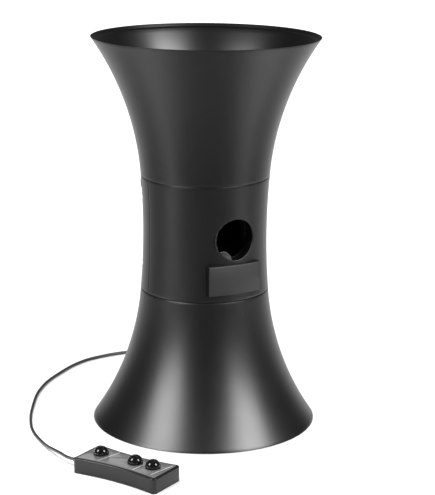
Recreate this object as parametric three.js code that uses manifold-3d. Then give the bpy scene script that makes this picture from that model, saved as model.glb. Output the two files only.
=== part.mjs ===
// Table tennis robot: a waisted floor machine with a feed hopper on top and a wired remote control.
// Millimetres, +Z up. The outlet faces -Y. The origin lies on the floor, under the middle of the
// box round the robot and its remote.
import * as THREE from "three";
import { mergeVertices } from "three/addons/utils/BufferGeometryUtils.js";
import Module from "manifold-3d";

const wasm = await Module();
wasm.setup();

// Driving dimensions of the robot's body
const AXIS_X = 44.5;
const AXIS_Y = 30.5;
const HEIGHT = 485;
const FLARE_HEIGHT = 171;
const FLARE_ARC_RADIUS = 345;
const FLARE_NECK_RADIUS = 80;
const FLARE_NECK_SLOPE = 0.075;
const FLARE_WALL = 3;
const RIM_THICKNESS = 1.6;
const RIM_TAPER = 5;
const FOOT_LIP_RADIUS = 133;
const FOOT_LIP_HEIGHT = 2.4;
const WAIST_RADIUS = 77.1;
const WAIST_ARC_RADIUS = 851;
const HOUSING_WALL = 2.5;
const FIT_GAP = 0.3;
const SPIGOT_RADIUS = 75.9;
const SPIGOT_WALL = 2.5;
const HOPPER_SPIGOT = 13.5;
const BASE_SPIGOT = 15.5;

// Driving dimensions of the outlet and of what throws and feeds
const OUTLET_Z = 247;
const OUTLET_RADIUS = 25.5;
const TONGUE_RADIUS = 12;
const TONGUE_AT = [-17.5, -25];
const WHEEL_RADIUS = 16;
const WHEEL_HUB_RADIUS = 12.3;
const WHEEL_WIDTH = 18;
const WHEEL_Y = -32;
const WHEEL_RISE = 34.5;
const AXLE_RADIUS = 2.5;
const PLATE_INSIDE = 26;
const PLATE_THICKNESS = 3;
const CHUTE_BORE = 21.5;
const CHUTE_WALL = 2;
const CHUTE_BEND = 42;
const CHUTE_MOUTH_Y = -6;
const CHUTE_FLANGE_RADIUS = 29;
const FLOOR_Z = 302;
const FLOOR_THICKNESS = 3;
const FLOOR_RADIUS = 73;
const DROP_RADIUS = 22.5;
const ROTOR_RADIUS = 62;
const ROTOR_HEIGHT = 18;
const POCKET_RADIUS = 22.5;
const POCKET_AT = 43;
const POCKETS = 4;
const DECK_THICKNESS = 3;
const GEARBOX_HALF_LENGTH = 22;
const GEARBOX_HEIGHT = 18.7;
const FEED_MOTOR_RADIUS = 8.7;
const FEED_MOTOR_Y = 0.5;
const FEED_MOTOR_Z = 289;
const WHEEL_MOTOR_RADIUS = 12;
const MOTOR_LENGTH = 25;

// Driving dimensions of the battery case
const CUP_RADIUS = 57.5;
const CUP_BOTTOM = 112;
const CELL_RADIUS = 17.1;
const CELL_LENGTH = 61.5;
const CELL_RING = 35;
const CELLS = 6;
const CELL_BOTTOM = 118.4;
const DOOR_BOTTOM = 108;
const DOOR_CLEARANCE = 1.1;

// Driving dimensions of the remote control
const REMOTE_X = -135.3;
const REMOTE_Y = -108.6;
const REMOTE_ANGLE = THREE.MathUtils.degToRad(-63);
const REMOTE_LENGTH = 117;
const REMOTE_WIDTH = 57;
const REMOTE_WAIST = 5;
const REMOTE_CORNER = 7;
const REMOTE_HEIGHT = 15;
const REMOTE_WALL = 2;
const REMOTE_SKIRT_Z = 0.4;
const REMOTE_PLATE = 1.8;
const REMOTE_BOARD_Z = 5.5;
const KNOB_RADIUS = 9.2;
const KNOB_HEIGHT = 13.5;
const KNOBS_AT = { feed_knob: -37.6, speed_knob_top: 11.4, speed_knob_bottom: 36.3 };

// The remote's cord
const CORD_RADIUS = 2;
const CORD_Z = 2.2;
const JACK_Z = 200;
const COIL_X = 107.3;
const COIL_Y = 169.1;
const COIL_OUTER = 31.7;
const COIL_INNER = 16.3;
const COIL_TURNS = 13.361;
const COIL_LAYERS = 4;
const COIL_STEPS = 18;
const COIL_BOTTOM_Z = 3.3;
const COIL_LAYER_RISE = 4.5;
const COIL_START_ANGLE = -Math.PI / 2;

const LOWER_SEAM = FLARE_HEIGHT;
const UPPER_SEAM = HEIGHT - FLARE_HEIGHT;
const MIDDLE_Z = HEIGHT / 2;
const SEAM_HALF = FIT_GAP / 2;
const ROUND = 32;

// Materials, by finish

function finish(color, roughness, metalness = 0) {
  return new THREE.MeshStandardMaterial({ color, roughness, metalness });
}

const shellBlack = () => finish(0x1b1b1d, 0.38);
const innerBlack = () => finish(0x161617, 0.6);
const deckGrey = () => finish(0x3a3b3d, 0.6);
const feedWhite = () => finish(0xd9d9d4, 0.5);
const rubber = () => finish(0x101010, 0.85);
const zinc = () => finish(0xa9abad, 0.35, 1);
const brass = () => finish(0xc8a550, 0.3, 1);
const cellSleeve = () => finish(0x46505c, 0.4);
const boardGreen = () => finish(0x1f5a33, 0.5);
const panelGrey = () => finish(0x8d8e90, 0.35, 0.4);
const knobBlack = () => finish(0x060606, 0.12);
const cordBlack = () => finish(0x1a1a1b, 0.6);

// Solids and their booleans

function solid(geometry) {
  const bare = geometry.clone();
  bare.deleteAttribute("normal");
  bare.deleteAttribute("uv");
  const merged = mergeVertices(bare, 1e-4);
  return new wasm.Manifold(new wasm.Mesh({
    numProp: 3,
    vertProperties: merged.attributes.position.array,
    triVerts: Uint32Array.from(merged.index.array),
  }));
}

function geometryOf(body) {
  const mesh = body.getMesh();
  const geometry = new THREE.BufferGeometry();
  geometry.setAttribute("position", new THREE.BufferAttribute(mesh.vertProperties, 3));
  geometry.setIndex(new THREE.BufferAttribute(mesh.triVerts, 1));
  geometry.computeVertexNormals();
  return geometry;
}

function join(...geometries) {
  return geometryOf(geometries.map(solid).reduce((sum, next) => sum.add(next)));
}

function cut(geometry, ...tools) {
  return geometryOf(tools.map(solid).reduce((rest, tool) => rest.subtract(tool), solid(geometry)));
}

function common(a, b) {
  return geometryOf(solid(a).intersect(solid(b)));
}

// Evenly spaced values from one end to the other, both included
function steps(from, to, count) {
  return Array.from({ length: count + 1 }, (_, i) => from + ((to - from) * i) / count);
}

// Primitive forms, placed by their real corners and ends

function box(x0, x1, y0, y1, z0, z1) {
  const shape = new THREE.BoxGeometry(x1 - x0, y1 - y0, z1 - z0);
  return shape.translate((x0 + x1) / 2, (y0 + y1) / 2, (z0 + z1) / 2);
}

// A closed (radius, height) outline, counterclockwise, turned about the Z axis
function revolve(outline, segments = ROUND) {
  const points = outline.map(([r, z]) => new THREE.Vector2(r, z));
  const onAxis = points[0].x === 0 && points[points.length - 1].x === 0;
  if (!onAxis) {
    points.push(points[0].clone());
  }
  return new THREE.LatheGeometry(points, segments).rotateX(Math.PI / 2);
}

function pinZ(x, y, radius, z0, z1, segments = 16, topRadius = radius) {
  const shape = new THREE.CylinderGeometry(topRadius, radius, z1 - z0, segments);
  return shape.rotateX(Math.PI / 2).translate(x, y, (z0 + z1) / 2);
}

function pinX(y, z, radius, x0, x1, segments = 16) {
  const shape = new THREE.CylinderGeometry(radius, radius, x1 - x0, segments);
  return shape.rotateZ(-Math.PI / 2).translate((x0 + x1) / 2, y, z);
}

function pinY(x, z, radius, y0, y1, segments = 16, farRadius = radius) {
  const shape = new THREE.CylinderGeometry(farRadius, radius, y1 - y0, segments);
  return shape.translate(x, (y0 + y1) / 2, z);
}

function prism(shape, z0, z1) {
  const body = new THREE.ExtrudeGeometry(shape, { depth: z1 - z0, bevelEnabled: false });
  return body.translate(0, 0, z0);
}

function polygon(points) {
  return new THREE.Shape(points.map(([x, y]) => new THREE.Vector2(x, y)));
}

function arc(x, y, radius, from, to, pieces) {
  return steps(from, to, pieces).map((angle) => [
    x + radius * Math.cos(angle), y + radius * Math.sin(angle),
  ]);
}

function roundedRectangle(x0, x1, y0, y1, radius, pieces = 3) {
  const quarter = Math.PI / 2;
  return polygon([
    ...arc(x1 - radius, y0 + radius, radius, -quarter, 0, pieces),
    ...arc(x1 - radius, y1 - radius, radius, 0, quarter, pieces),
    ...arc(x0 + radius, y1 - radius, radius, quarter, 2 * quarter, pieces),
    ...arc(x0 + radius, y0 + radius, radius, 2 * quarter, 3 * quarter, pieces),
  ]);
}

function circle(x, y, radius, sides) {
  return polygon(arc(x, y, radius, 0, 2 * Math.PI, sides).slice(0, sides));
}

function circlePoints(radius, sides, phase = 0) {
  return steps(0, 1, sides).slice(0, sides).map((t) => {
    const angle = phase + 2 * Math.PI * t;
    return [radius * Math.cos(angle), radius * Math.sin(angle)];
  });
}

// A section carried along a line of points, square to it, closed at both ends. The section's first
// axis stays square to the run's own plane: to the vertical plane X = 0, or to the floor.
function sweep(centre, section, across = new THREE.Vector3(1, 0, 0)) {
  const count = section.length;
  const positions = [];
  centre.forEach((point, i) => {
    const before = centre[Math.max(i - 1, 0)];
    const after = centre[Math.min(i + 1, centre.length - 1)];
    const along = after.clone().sub(before).normalize();
    const side = across.clone().addScaledVector(along, -across.dot(along)).normalize();
    const other = along.clone().cross(side);
    section.forEach(([u, v]) => {
      const corner = point.clone().addScaledVector(side, u).addScaledVector(other, v);
      positions.push(corner.x, corner.y, corner.z);
    });
  });
  const indices = [];
  for (let i = 0; i < centre.length - 1; i += 1) {
    for (let j = 0; j < count; j += 1) {
      const a = i * count + j;
      const b = i * count + ((j + 1) % count);
      indices.push(a, b, a + count, b, b + count, a + count);
    }
  }
  const last = (centre.length - 1) * count;
  for (let j = 1; j < count - 1; j += 1) {
    indices.push(0, j + 1, j);
    indices.push(last, last + j, last + j + 1);
  }
  const geometry = new THREE.BufferGeometry();
  geometry.setAttribute("position", new THREE.Float32BufferAttribute(positions, 3));
  geometry.setIndex(indices);
  geometry.computeVertexNormals();
  return geometry;
}

function ring(count, radius, make, phase = 0) {
  return Array.from({ length: count }, (_, i) => {
    const angle = phase + (2 * Math.PI * i) / count;
    return make(radius * Math.cos(angle), radius * Math.sin(angle), angle);
  });
}

// The scene graph

const robot = new THREE.Group();
robot.position.set(AXIS_X, AXIS_Y, 0);

const remote = new THREE.Group();
remote.position.set(REMOTE_X, REMOTE_Y, 0);
remote.rotation.z = REMOTE_ANGLE;

const model = new THREE.Group();
model.add(robot, remote);

function place(parent, name, geometry, material) {
  const mesh = new THREE.Mesh(geometry, material);
  mesh.name = name;
  parent.add(mesh);
  return mesh;
}

// The outer shells

// Radius of the trumpet at a distance from its seam, for the wall face at an offset towards the axis
function flareRadius(fromSeam, offset = 0) {
  const neckCosine = Math.sqrt(1 - FLARE_NECK_SLOPE ** 2);
  const centreRadius = FLARE_NECK_RADIUS + FLARE_ARC_RADIUS * neckCosine;
  const centreHeight = -FLARE_NECK_SLOPE * FLARE_ARC_RADIUS;
  const arc = FLARE_ARC_RADIUS + offset;
  return centreRadius - Math.sqrt(arc ** 2 - (fromSeam - centreHeight) ** 2);
}

function housingRadius(z, offset = 0) {
  const arc = WAIST_ARC_RADIUS + offset;
  return WAIST_RADIUS + WAIST_ARC_RADIUS - Math.sqrt(arc ** 2 - (z - MIDDLE_Z) ** 2);
}

// Heights are measured from the seam, so the same trumpet serves as foot and as hopper
function flare(spigotLength, edge) {
  const floorTop = SEAM_HALF + FLARE_WALL;
  const edgeBottom = edge[edge.length - 1][1];
  const outer = steps(SEAM_HALF, FLARE_HEIGHT, 6).map((t) => [flareRadius(t), t]);
  const inner = steps(edgeBottom, floorTop, 4).slice(1).map((t) => [flareRadius(t, FLARE_WALL), t]);
  return revolve([
    ...outer,
    ...edge,
    ...inner,
    [SPIGOT_RADIUS - SPIGOT_WALL, floorTop],
    [SPIGOT_RADIUS - SPIGOT_WALL, -spigotLength],
    [SPIGOT_RADIUS, -spigotLength],
    [SPIGOT_RADIUS, SEAM_HALF],
  ]);
}

function baseFlare() {
  const lip = FLARE_HEIGHT - FOOT_LIP_HEIGHT;
  const edge = [[FOOT_LIP_RADIUS, FLARE_HEIGHT], [FOOT_LIP_RADIUS, lip], [flareRadius(lip, FLARE_WALL), lip]];
  return flare(BASE_SPIGOT, edge).rotateX(Math.PI).translate(0, 0, LOWER_SEAM);
}

function hopperFlare() {
  const rimOutside = flareRadius(FLARE_HEIGHT);
  const taperFoot = FLARE_HEIGHT - RIM_TAPER;
  const edge = [[rimOutside - RIM_THICKNESS, FLARE_HEIGHT], [flareRadius(taperFoot, FLARE_WALL), taperFoot]];
  return flare(HOPPER_SPIGOT, edge).translate(0, 0, UPPER_SEAM);
}

function housingTube() {
  const heights = steps(LOWER_SEAM + SEAM_HALF, UPPER_SEAM - SEAM_HALF, 4);
  const outer = heights.map((z) => [housingRadius(z), z]);
  const inner = heights.map((z) => [housingRadius(z, HOUSING_WALL), z]).reverse();
  return revolve([...outer, ...inner]);
}

function halfSpace(side) {
  const reach = 100;
  const near = SEAM_HALF;
  const low = LOWER_SEAM - 10;
  const high = UPPER_SEAM + 10;
  return side < 0
    ? box(-reach, reach, -reach, -near, low, high)
    : box(-reach, reach, near, reach, low, high);
}

const SCREW_X = 69;
const BOSS_RADIUS = 6.5;
const OUTLET_TUNNEL_END = -60;
const OUTLET_SIDES = 24;
const TONGUE_BACK = -72;
const SCREW_HEIGHTS = [200, 286];
const SCREW_SEAT_Y = 22;
const SCREW_REACH_Y = -11;

function housingScrewPlaces() {
  return [-1, 1].flatMap((side) => SCREW_HEIGHTS.map((z) => ({ x: side * SCREW_X, z, side })));
}

// A boss beside the parting line, grown out of the wall
function boss(side, z, y0, y1) {
  return common(pinY(side * SCREW_X, z, BOSS_RADIUS, y0, y1, 8), insideHousing());
}

function insideHousing() {
  const heights = steps(LOWER_SEAM, UPPER_SEAM, 4);
  const outer = heights.map((z) => [housingRadius(z, 1), z]);
  return revolve([[0, LOWER_SEAM], ...outer, [0, UPPER_SEAM]]);
}

// The round hole through the wall, less the round tongue that reaches into it
function outletHole() {
  const [x, z] = TONGUE_AT;
  const hole = pinY(0, OUTLET_Z, OUTLET_RADIUS, -90, OUTLET_TUNNEL_END - 1, OUTLET_SIDES);
  return cut(hole, pinY(x, OUTLET_Z + z, TONGUE_RADIUS, -91, TONGUE_BACK, 16));
}

function frontHousing() {
  const wall = common(housingTube(), halfSpace(-1));
  const tunnelRadius = OUTLET_RADIUS + 2;
  const tunnelFront = -housingRadius(OUTLET_Z) + 0.6;
  const tunnel = common(
    pinY(0, OUTLET_Z, tunnelRadius, tunnelFront, OUTLET_TUNNEL_END, OUTLET_SIDES),
    insideHousing(),
  );
  const bore = pinY(0, OUTLET_Z, OUTLET_RADIUS, TONGUE_BACK, OUTLET_TUNNEL_END + 1, OUTLET_SIDES);
  const bosses = housingScrewPlaces().map(({ side, z }) => boss(side, z, -14, -SEAM_HALF));
  const pilots = housingScrewPlaces().map(({ x, z }) => pinY(x, z, 2.2, -13, 1, 6));
  return cut(join(wall, tunnel, ...bosses), outletHole(), bore, ...pilots);
}

// A low moulded catch on the rear of the housing, just under the hopper's seam
const CATCH_ANGLES = [29.5, 150.5];

function catchRib(angle) {
  const width = 14;
  const section = polygon([[78, 299], [80.2, 302.5], [80.6, 311], [79, 313.4], [78, 313.4]]);
  const rib = prism(section, -width / 2, width / 2).rotateX(Math.PI / 2);
  return rib.rotateZ(THREE.MathUtils.degToRad(angle));
}

const SWITCH_TURN = THREE.MathUtils.degToRad(-50);
const SWITCH_Z = 200;
const SWITCH_TRAVEL = 4;
const SLIDER_HALF = 3;

function rearHousing() {
  const wall = common(housingTube(), halfSpace(1));
  const bosses = housingScrewPlaces().map(({ side, z }) => boss(side, z, SEAM_HALF, 38));
  const joined = join(wall, ...bosses, ...CATCH_ANGLES.map(catchRib));
  const slotHalf = SLIDER_HALF + SWITCH_TRAVEL / 2 + 0.5;
  const switchSlot = box(-slotHalf, slotHalf, 70, 90, SWITCH_Z - 3, SWITCH_Z + 3).rotateZ(SWITCH_TURN);
  const shankHoles = housingScrewPlaces().map(({ x, z }) => pinY(x, z, 2.2, -1, 60, 6));
  const headHoles = housingScrewPlaces().map(({ x, z }) => pinY(x, z, 4.3, SCREW_SEAT_Y, 60, 8));
  return cut(joined, switchSlot, pinY(0, JACK_Z, 3.8, 60, 90, 10), ...shankHoles, ...headHoles);
}

// The flat plate under the outlet: its edges, and how far forward its face stands
const LABEL = { left: -37.3, right: 35.3, low: 180, high: 216.3, corner: 1.5, face: -80.5 };

function labelPlate() {
  const depth = 24;
  const outline = roundedRectangle(LABEL.left, LABEL.right, LABEL.low, LABEL.high, LABEL.corner);
  const slab = prism(outline, 0, depth).rotateX(Math.PI / 2).translate(0, LABEL.face + depth, 0);
  const heights = steps(LOWER_SEAM, UPPER_SEAM, 4);
  const around = heights.map((z) => [housingRadius(z, -FIT_GAP), z]);
  return cut(slab, revolve([[0, LOWER_SEAM], ...around, [0, UPPER_SEAM]]));
}

function screw(headRadius, headHeight, shankRadius, shankLength) {
  const head = [
    [0, 0], [headRadius, 0], [headRadius, headHeight * 0.5], [headRadius * 0.7, headHeight], [0, headHeight],
  ];
  return join(revolve(head, 8), pinZ(0, 0, shankRadius, -shankLength, 0.5, 6));
}

function addShells() {
  place(robot, "base_flare", baseFlare(), shellBlack());
  place(robot, "front_housing", frontHousing(), shellBlack());
  place(robot, "rear_housing", rearHousing(), shellBlack());
  place(robot, "hopper_flare", hopperFlare(), shellBlack());
  place(robot, "label_plate", labelPlate(), innerBlack());
  housingScrewPlaces().forEach(({ x, z }, i) => {
    const shank = SCREW_SEAT_Y - SCREW_REACH_Y;
    const fastener = screw(3.5, 2.4, 1.6, shank).rotateX(-Math.PI / 2);
    fastener.translate(x, SCREW_SEAT_Y + FIT_GAP, z);
    place(robot, `housing_screw_${i + 1}`, fastener, zinc());
  });
}

// The feed: floor, star wheel, gearbox and chute

const POSTS = [[-32, -60], [32, -60], [-32, 60], [32, 60]];
const DECK_Z = LOWER_SEAM + BASE_SPIGOT + FIT_GAP;
const DECK_TOP = DECK_Z + DECK_THICKNESS;

function feedFloor() {
  const top = FLOOR_Z + FLOOR_THICKNESS;
  const ribInside = FLOOR_RADIUS - 1.6;
  const disc = revolve([
    [0, FLOOR_Z], [ribInside, FLOOR_Z], [ribInside, FLOOR_Z - 1.2], [FLOOR_RADIUS, FLOOR_Z - 1.2],
    [FLOOR_RADIUS, top], [0, top],
  ]);
  const posts = POSTS.map(([x, y]) => pinZ(x, y, 4, DECK_TOP + FIT_GAP, FLOOR_Z + 1, 8, 3.2));
  const drop = pinZ(0, POCKET_AT, DROP_RADIUS, FLOOR_Z - 6, top + 1, 24);
  return cut(join(disc, ...posts), drop, pinZ(0, 0, 4.2, FLOOR_Z - 1, top + 1, 10));
}

function starOutline() {
  const squares = ROTOR_RADIUS ** 2 + POCKET_AT ** 2 - POCKET_RADIUS ** 2;
  const mouth = Math.acos(squares / (2 * ROTOR_RADIUS * POCKET_AT));
  const cornerX = ROTOR_RADIUS * Math.cos(mouth);
  const cornerY = ROTOR_RADIUS * Math.sin(mouth);
  const edge = Math.atan2(cornerY, cornerX - POCKET_AT);
  const points = [];
  for (let i = 0; i < POCKETS; i += 1) {
    const from = (2 * Math.PI * i) / POCKETS;
    const to = (2 * Math.PI * (i + 1)) / POCKETS;
    const cx = POCKET_AT * Math.cos(to);
    const cy = POCKET_AT * Math.sin(to);
    points.push(...arc(0, 0, ROTOR_RADIUS, from + mouth, to - mouth, 5));
    points.push(...arc(cx, cy, POCKET_RADIUS, to - edge, to - 2 * Math.PI + edge, 12).slice(1, 12));
  }
  return polygon(points);
}

function agitatorFin(angle, foot) {
  const side = polygon([[8, -2], [46, -2], [40, 5], [22, 11], [8, 13]]);
  const fin = prism(side, -2, 2).rotateX(Math.PI / 2);
  return fin.rotateZ(angle).translate(0, 0, foot);
}

function feedRotor() {
  const bottom = FLOOR_Z + FLOOR_THICKNESS + 0.6;
  const top = bottom + ROTOR_HEIGHT;
  const dome = revolve([
    [0, top - 1], [17, top - 1], [16, top + 5], [12, top + 10], [6, top + 13], [0, top + 14],
  ], 16);
  const fins = ring(POCKETS, 0, (x, y, angle) => agitatorFin(angle, top), Math.PI / POCKETS);
  const body = join(prism(starOutline(), bottom, top), dome, ...fins);
  return cut(body, pinZ(0, 0, 3.6, bottom - 1, top + 4, 10));
}

function feedGearbox() {
  const half = GEARBOX_HALF_LENGTH;
  const outline = roundedRectangle(-half, half, -14, 11.5, 3);
  const lid = roundedRectangle(-half + 2, half - 2, -12, 9.5, 3);
  const top = FLOOR_Z - FIT_GAP;
  const bottom = top - GEARBOX_HEIGHT;
  return join(prism(outline, bottom, top), prism(lid, bottom - 2, bottom + 1));
}

function feedChute() {
  const top = FLOOR_Z - FIT_GAP;
  const bendZ = OUTLET_Z + CHUTE_BEND;
  const bend = arc(CHUTE_BEND, bendZ, CHUTE_BEND, 0, -Math.PI / 2, 5).map(([y, z]) => (
    new THREE.Vector3(0, y - CHUTE_BEND, z)
  ));
  const line = (reach) => [
    new THREE.Vector3(0, CHUTE_BEND, top + reach),
    ...bend,
    new THREE.Vector3(0, CHUTE_MOUTH_Y - reach, OUTLET_Z),
  ];
  const shell = sweep(line(0), circlePoints(CHUTE_BORE + CHUTE_WALL, 16));
  const bore = sweep(line(1), circlePoints(CHUTE_BORE, 16));
  const flange = pinZ(0, CHUTE_BEND, CHUTE_FLANGE_RADIUS, top - 2.5, top, 16);
  return cut(join(shell, flange), bore);
}

function addFeed() {
  place(robot, "feed_floor", feedFloor(), deckGrey());
  place(robot, "feed_rotor", feedRotor(), feedWhite());
  place(robot, "feed_shaft", pinZ(0, 0, 3, FLOOR_Z, FLOOR_Z + 24, 10), zinc());
  place(robot, "feed_gearbox", feedGearbox(), innerBlack());
  const feedMotor = motor(FEED_MOTOR_RADIUS, MOTOR_LENGTH);
  feedMotor.translate(GEARBOX_HALF_LENGTH + FIT_GAP, FEED_MOTOR_Y, FEED_MOTOR_Z);
  place(robot, "feed_motor", feedMotor, zinc());
  place(robot, "feed_chute", feedChute(), innerBlack());
}

// A can motor lying along +X from its mounting face, with its end cap and terminals
function motor(radius, length) {
  const can = [
    [0, 0], [radius * 0.96, 0], [radius, 1], [radius, length - 3], [radius * 0.9, length - 2.6],
    [radius * 0.9, length - 1], [radius * 0.35, length - 1], [radius * 0.3, length], [0, length],
  ];
  const body = revolve(can, 12).rotateY(Math.PI / 2);
  const terminals = [-0.55, 0.55].map((side) => {
    const y = side * radius;
    return box(length - 2, length + 2.5, y - 1.2, y + 1.2, -0.4, 0.4);
  });
  return join(body, ...terminals);
}

// The throw: frame, wheels and their motors

const WHEELS = {
  upper: { z: OUTLET_Z + WHEEL_RISE, side: 1 },
  lower: { z: OUTLET_Z - WHEEL_RISE, side: -1 },
};

function sidePlate(x) {
  const foot = DECK_TOP + FIT_GAP;
  const outline = polygon([
    [-52, foot], [20, foot], [20, 222], [10, 232], [10, 262], [16, 272], [16, 300], [-48, 300],
    [-52, 296],
  ]);
  outline.holes.push(circle(WHEEL_Y, WHEELS.upper.z, 3.4, 8), circle(WHEEL_Y, WHEELS.lower.z, 3.4, 8));
  outline.holes.push(roundedRectangle(-44, 0, OUTLET_Z - 13, OUTLET_Z + 13, 8));
  outline.holes.push(roundedRectangle(-8, 14, 199, 221, 6));
  if (x > 0) {
    outline.holes.push(circle(FEED_MOTOR_Y, FEED_MOTOR_Z, FEED_MOTOR_RADIUS + 0.8, 16));
  } else {
    outline.holes.push(roundedRectangle(-10, 8, 278, 294, 5));
  }
  const plate = prism(outline, 0, PLATE_THICKNESS);
  return plate.rotateX(Math.PI / 2).rotateZ(Math.PI / 2).translate(x, 0, 0);
}

function throwFrame() {
  const foot = DECK_TOP + FIT_GAP;
  const reach = PLATE_INSIDE + PLATE_THICKNESS;
  const bite = PLATE_INSIDE + 1;
  const ties = [
    box(-bite, bite, -51.5, -49, 287, 298),
    box(-bite, bite, -51.5, -49, foot + 0.5, 204),
    box(-bite, bite, 16.5, 19.5, foot + 0.5, 214),
    box(-bite, bite, -18, -8, foot + 0.5, foot + 4),
  ];
  return join(sidePlate(PLATE_INSIDE), sidePlate(-reach), ...ties);
}

function wheelHub() {
  const half = WHEEL_WIDTH / 2;
  const rim = WHEEL_HUB_RADIUS;
  const hub = revolve([
    [0, -half], [5, -half], [5, -2], [rim - 2, -2], [rim - 2, -half], [rim, -half],
    [rim, half], [rim - 2, half], [rim - 2, 2], [5, 2], [5, half], [0, half],
  ], 12);
  const axleEnd = PLATE_INSIDE + PLATE_THICKNESS - FIT_GAP;
  return join(hub.rotateY(Math.PI / 2), pinX(0, 0, AXLE_RADIUS, -axleEnd, axleEnd, 8));
}

function wheelTyre() {
  const half = WHEEL_WIDTH / 2;
  const bore = WHEEL_HUB_RADIUS + 0.5;
  const waist = WHEEL_RADIUS - 1;
  const ringSection = [
    [bore, -half], [WHEEL_RADIUS - 0.4, -half], [WHEEL_RADIUS, -half + 1.2], [waist, 0],
    [WHEEL_RADIUS, half - 1.2], [WHEEL_RADIUS - 0.4, half], [bore, half],
  ];
  return revolve(ringSection, 20).rotateY(Math.PI / 2);
}

function addThrow() {
  place(robot, "throw_frame", throwFrame(), deckGrey());
  const motorFace = PLATE_INSIDE + PLATE_THICKNESS + FIT_GAP;
  for (const [name, { z, side }] of Object.entries(WHEELS)) {
    place(robot, `${name}_wheel_hub`, wheelHub().translate(0, WHEEL_Y, z), deckGrey());
    place(robot, `${name}_wheel_tyre`, wheelTyre().translate(0, WHEEL_Y, z), rubber());
    const can = motor(WHEEL_MOTOR_RADIUS, MOTOR_LENGTH);
    if (side < 0) {
      can.rotateZ(Math.PI);
    }
    place(robot, `${name}_wheel_motor`, can.translate(side * motorFace, WHEEL_Y, z), zinc());
  }
}

// The deck at the foot of the middle shell, and the board on it

function lowerDeck() {
  const disc = revolve([[0, DECK_Z], [SPIGOT_RADIUS, DECK_Z], [SPIGOT_RADIUS, DECK_TOP], [0, DECK_TOP]]);
  const wireHole = pinZ(-48, 32, 6, DECK_Z - 1, DECK_TOP + 1, 10);
  return cut(disc, wireHole);
}

function controlBoard() {
  const board = box(-27, 27, 22.5, 57, 195, 196.6);
  const feet = [[-24, 25.5], [24, 25.5], [-24, 54], [24, 54]].map(([x, y]) => (
    pinZ(x, y, 2.4, DECK_TOP + FIT_GAP, 195.5, 6)
  ));
  const parts = [
    pinZ(-17, 33, 5, 196, 208, 10),
    pinZ(-5, 33, 5, 196, 208, 10),
    box(6, 24, 30, 38, 196, 209),
    box(-20, -6, 50, 56, 196, 203),
    box(6, 20, 50, 56, 196, 203),
    box(-4, 8, 41, 47, 196, 198.4),
  ];
  return join(board, ...feet, ...parts);
}

function remoteJack() {
  const block = box(-6, 6, 60, 74.6, JACK_Z - 6, JACK_Z + 5);
  return cut(block, pinY(0, JACK_Z, 3.3, 62.5, 80, 10));
}

function switchBody() {
  const block = box(-9, 9, 63, 74.4, SWITCH_Z - 6, SWITCH_Z + 6);
  const slotHalf = SLIDER_HALF + SWITCH_TRAVEL / 2 + FIT_GAP;
  return cut(block, box(-slotHalf, slotHalf, 68.5, 80, SWITCH_Z - 2.7, SWITCH_Z + 2.7)).rotateZ(SWITCH_TURN);
}

function switchSlider() {
  const middle = -SWITCH_TRAVEL / 2;
  const thumb = polygon([
    [middle - SLIDER_HALF, 69], [middle + SLIDER_HALF, 69], [middle + SLIDER_HALF, 80.4], [middle + 1, 79.8],
    [middle - 1, 79.8], [middle - SLIDER_HALF, 80.4],
  ]);
  return prism(thumb, SWITCH_Z - 2.3, SWITCH_Z + 2.3).rotateZ(SWITCH_TURN);
}

function addDeck() {
  place(robot, "lower_deck", lowerDeck(), deckGrey());
  place(robot, "control_board", controlBoard(), boardGreen());
  place(robot, "remote_jack", remoteJack(), innerBlack());
  place(robot, "power_switch_body", switchBody(), innerBlack());
  place(robot, "power_switch_slider", switchSlider(), knobBlack());
}

// The battery case in the hollow foot

const CUP_TOP = LOWER_SEAM + BASE_SPIGOT;
const CUP_ROOF = CUP_TOP - 3;
const COLUMN_RADIUS = 12;

function batteryCup() {
  const wall = CUP_RADIUS - 2;
  const flange = SPIGOT_RADIUS - SPIGOT_WALL - 0.9;
  return revolve([
    [0, CUP_ROOF], [COLUMN_RADIUS - 2.5, CUP_ROOF], [COLUMN_RADIUS - 2.5, CUP_BOTTOM + 2],
    [COLUMN_RADIUS, CUP_BOTTOM + 2], [COLUMN_RADIUS, CUP_ROOF], [wall, CUP_ROOF], [wall, CUP_BOTTOM],
    [CUP_RADIUS, CUP_BOTTOM], [CUP_RADIUS, CUP_ROOF], [flange, CUP_ROOF], [flange, CUP_TOP], [0, CUP_TOP],
  ], 20);
}

function batteryDoor() {
  const inside = CUP_RADIUS + DOOR_CLEARANCE;
  const outside = inside + 2.5;
  const top = CUP_BOTTOM + 12;
  const floor = DOOR_BOTTOM + 3;
  const lid = revolve([
    [0, DOOR_BOTTOM], [outside, DOOR_BOTTOM], [outside, top], [inside, top], [inside, floor], [0, floor],
  ], 20);
  const grip = prism(roundedRectangle(-46, 46, -6, 6, 6), DOOR_BOTTOM - 8, DOOR_BOTTOM + 1);
  const ribs = ring(8, outside, (x, y) => pinZ(x, y, 1.8, DOOR_BOTTOM, top - 2, 5));
  return join(lid, grip, ...ribs);
}

function cell(flipped) {
  const body = revolve([
    [0, 0], [CELL_RADIUS, 0], [CELL_RADIUS, CELL_LENGTH - 2], [4.75, CELL_LENGTH - 1.5],
    [4.75, CELL_LENGTH], [0, CELL_LENGTH],
  ], 10);
  return flipped ? body.rotateX(Math.PI).translate(0, 0, CELL_LENGTH) : body;
}

function contactPlate(z0, z1, tip) {
  const outline = circle(0, 0, CELL_RING + 15, 16);
  outline.holes.push(circle(0, 0, COLUMN_RADIUS + 2, 8));
  const low = Math.min(z0, tip);
  const high = Math.max(z1, tip);
  const wide = 7;
  const narrow = 3;
  const springs = ring(CELLS, CELL_RING, (x, y) => (
    tip < z0 ? pinZ(x, y, narrow, low, high, 5, wide) : pinZ(x, y, wide, low, high, 5, narrow)
  ));
  return join(prism(outline, z0, z1), ...springs);
}

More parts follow.
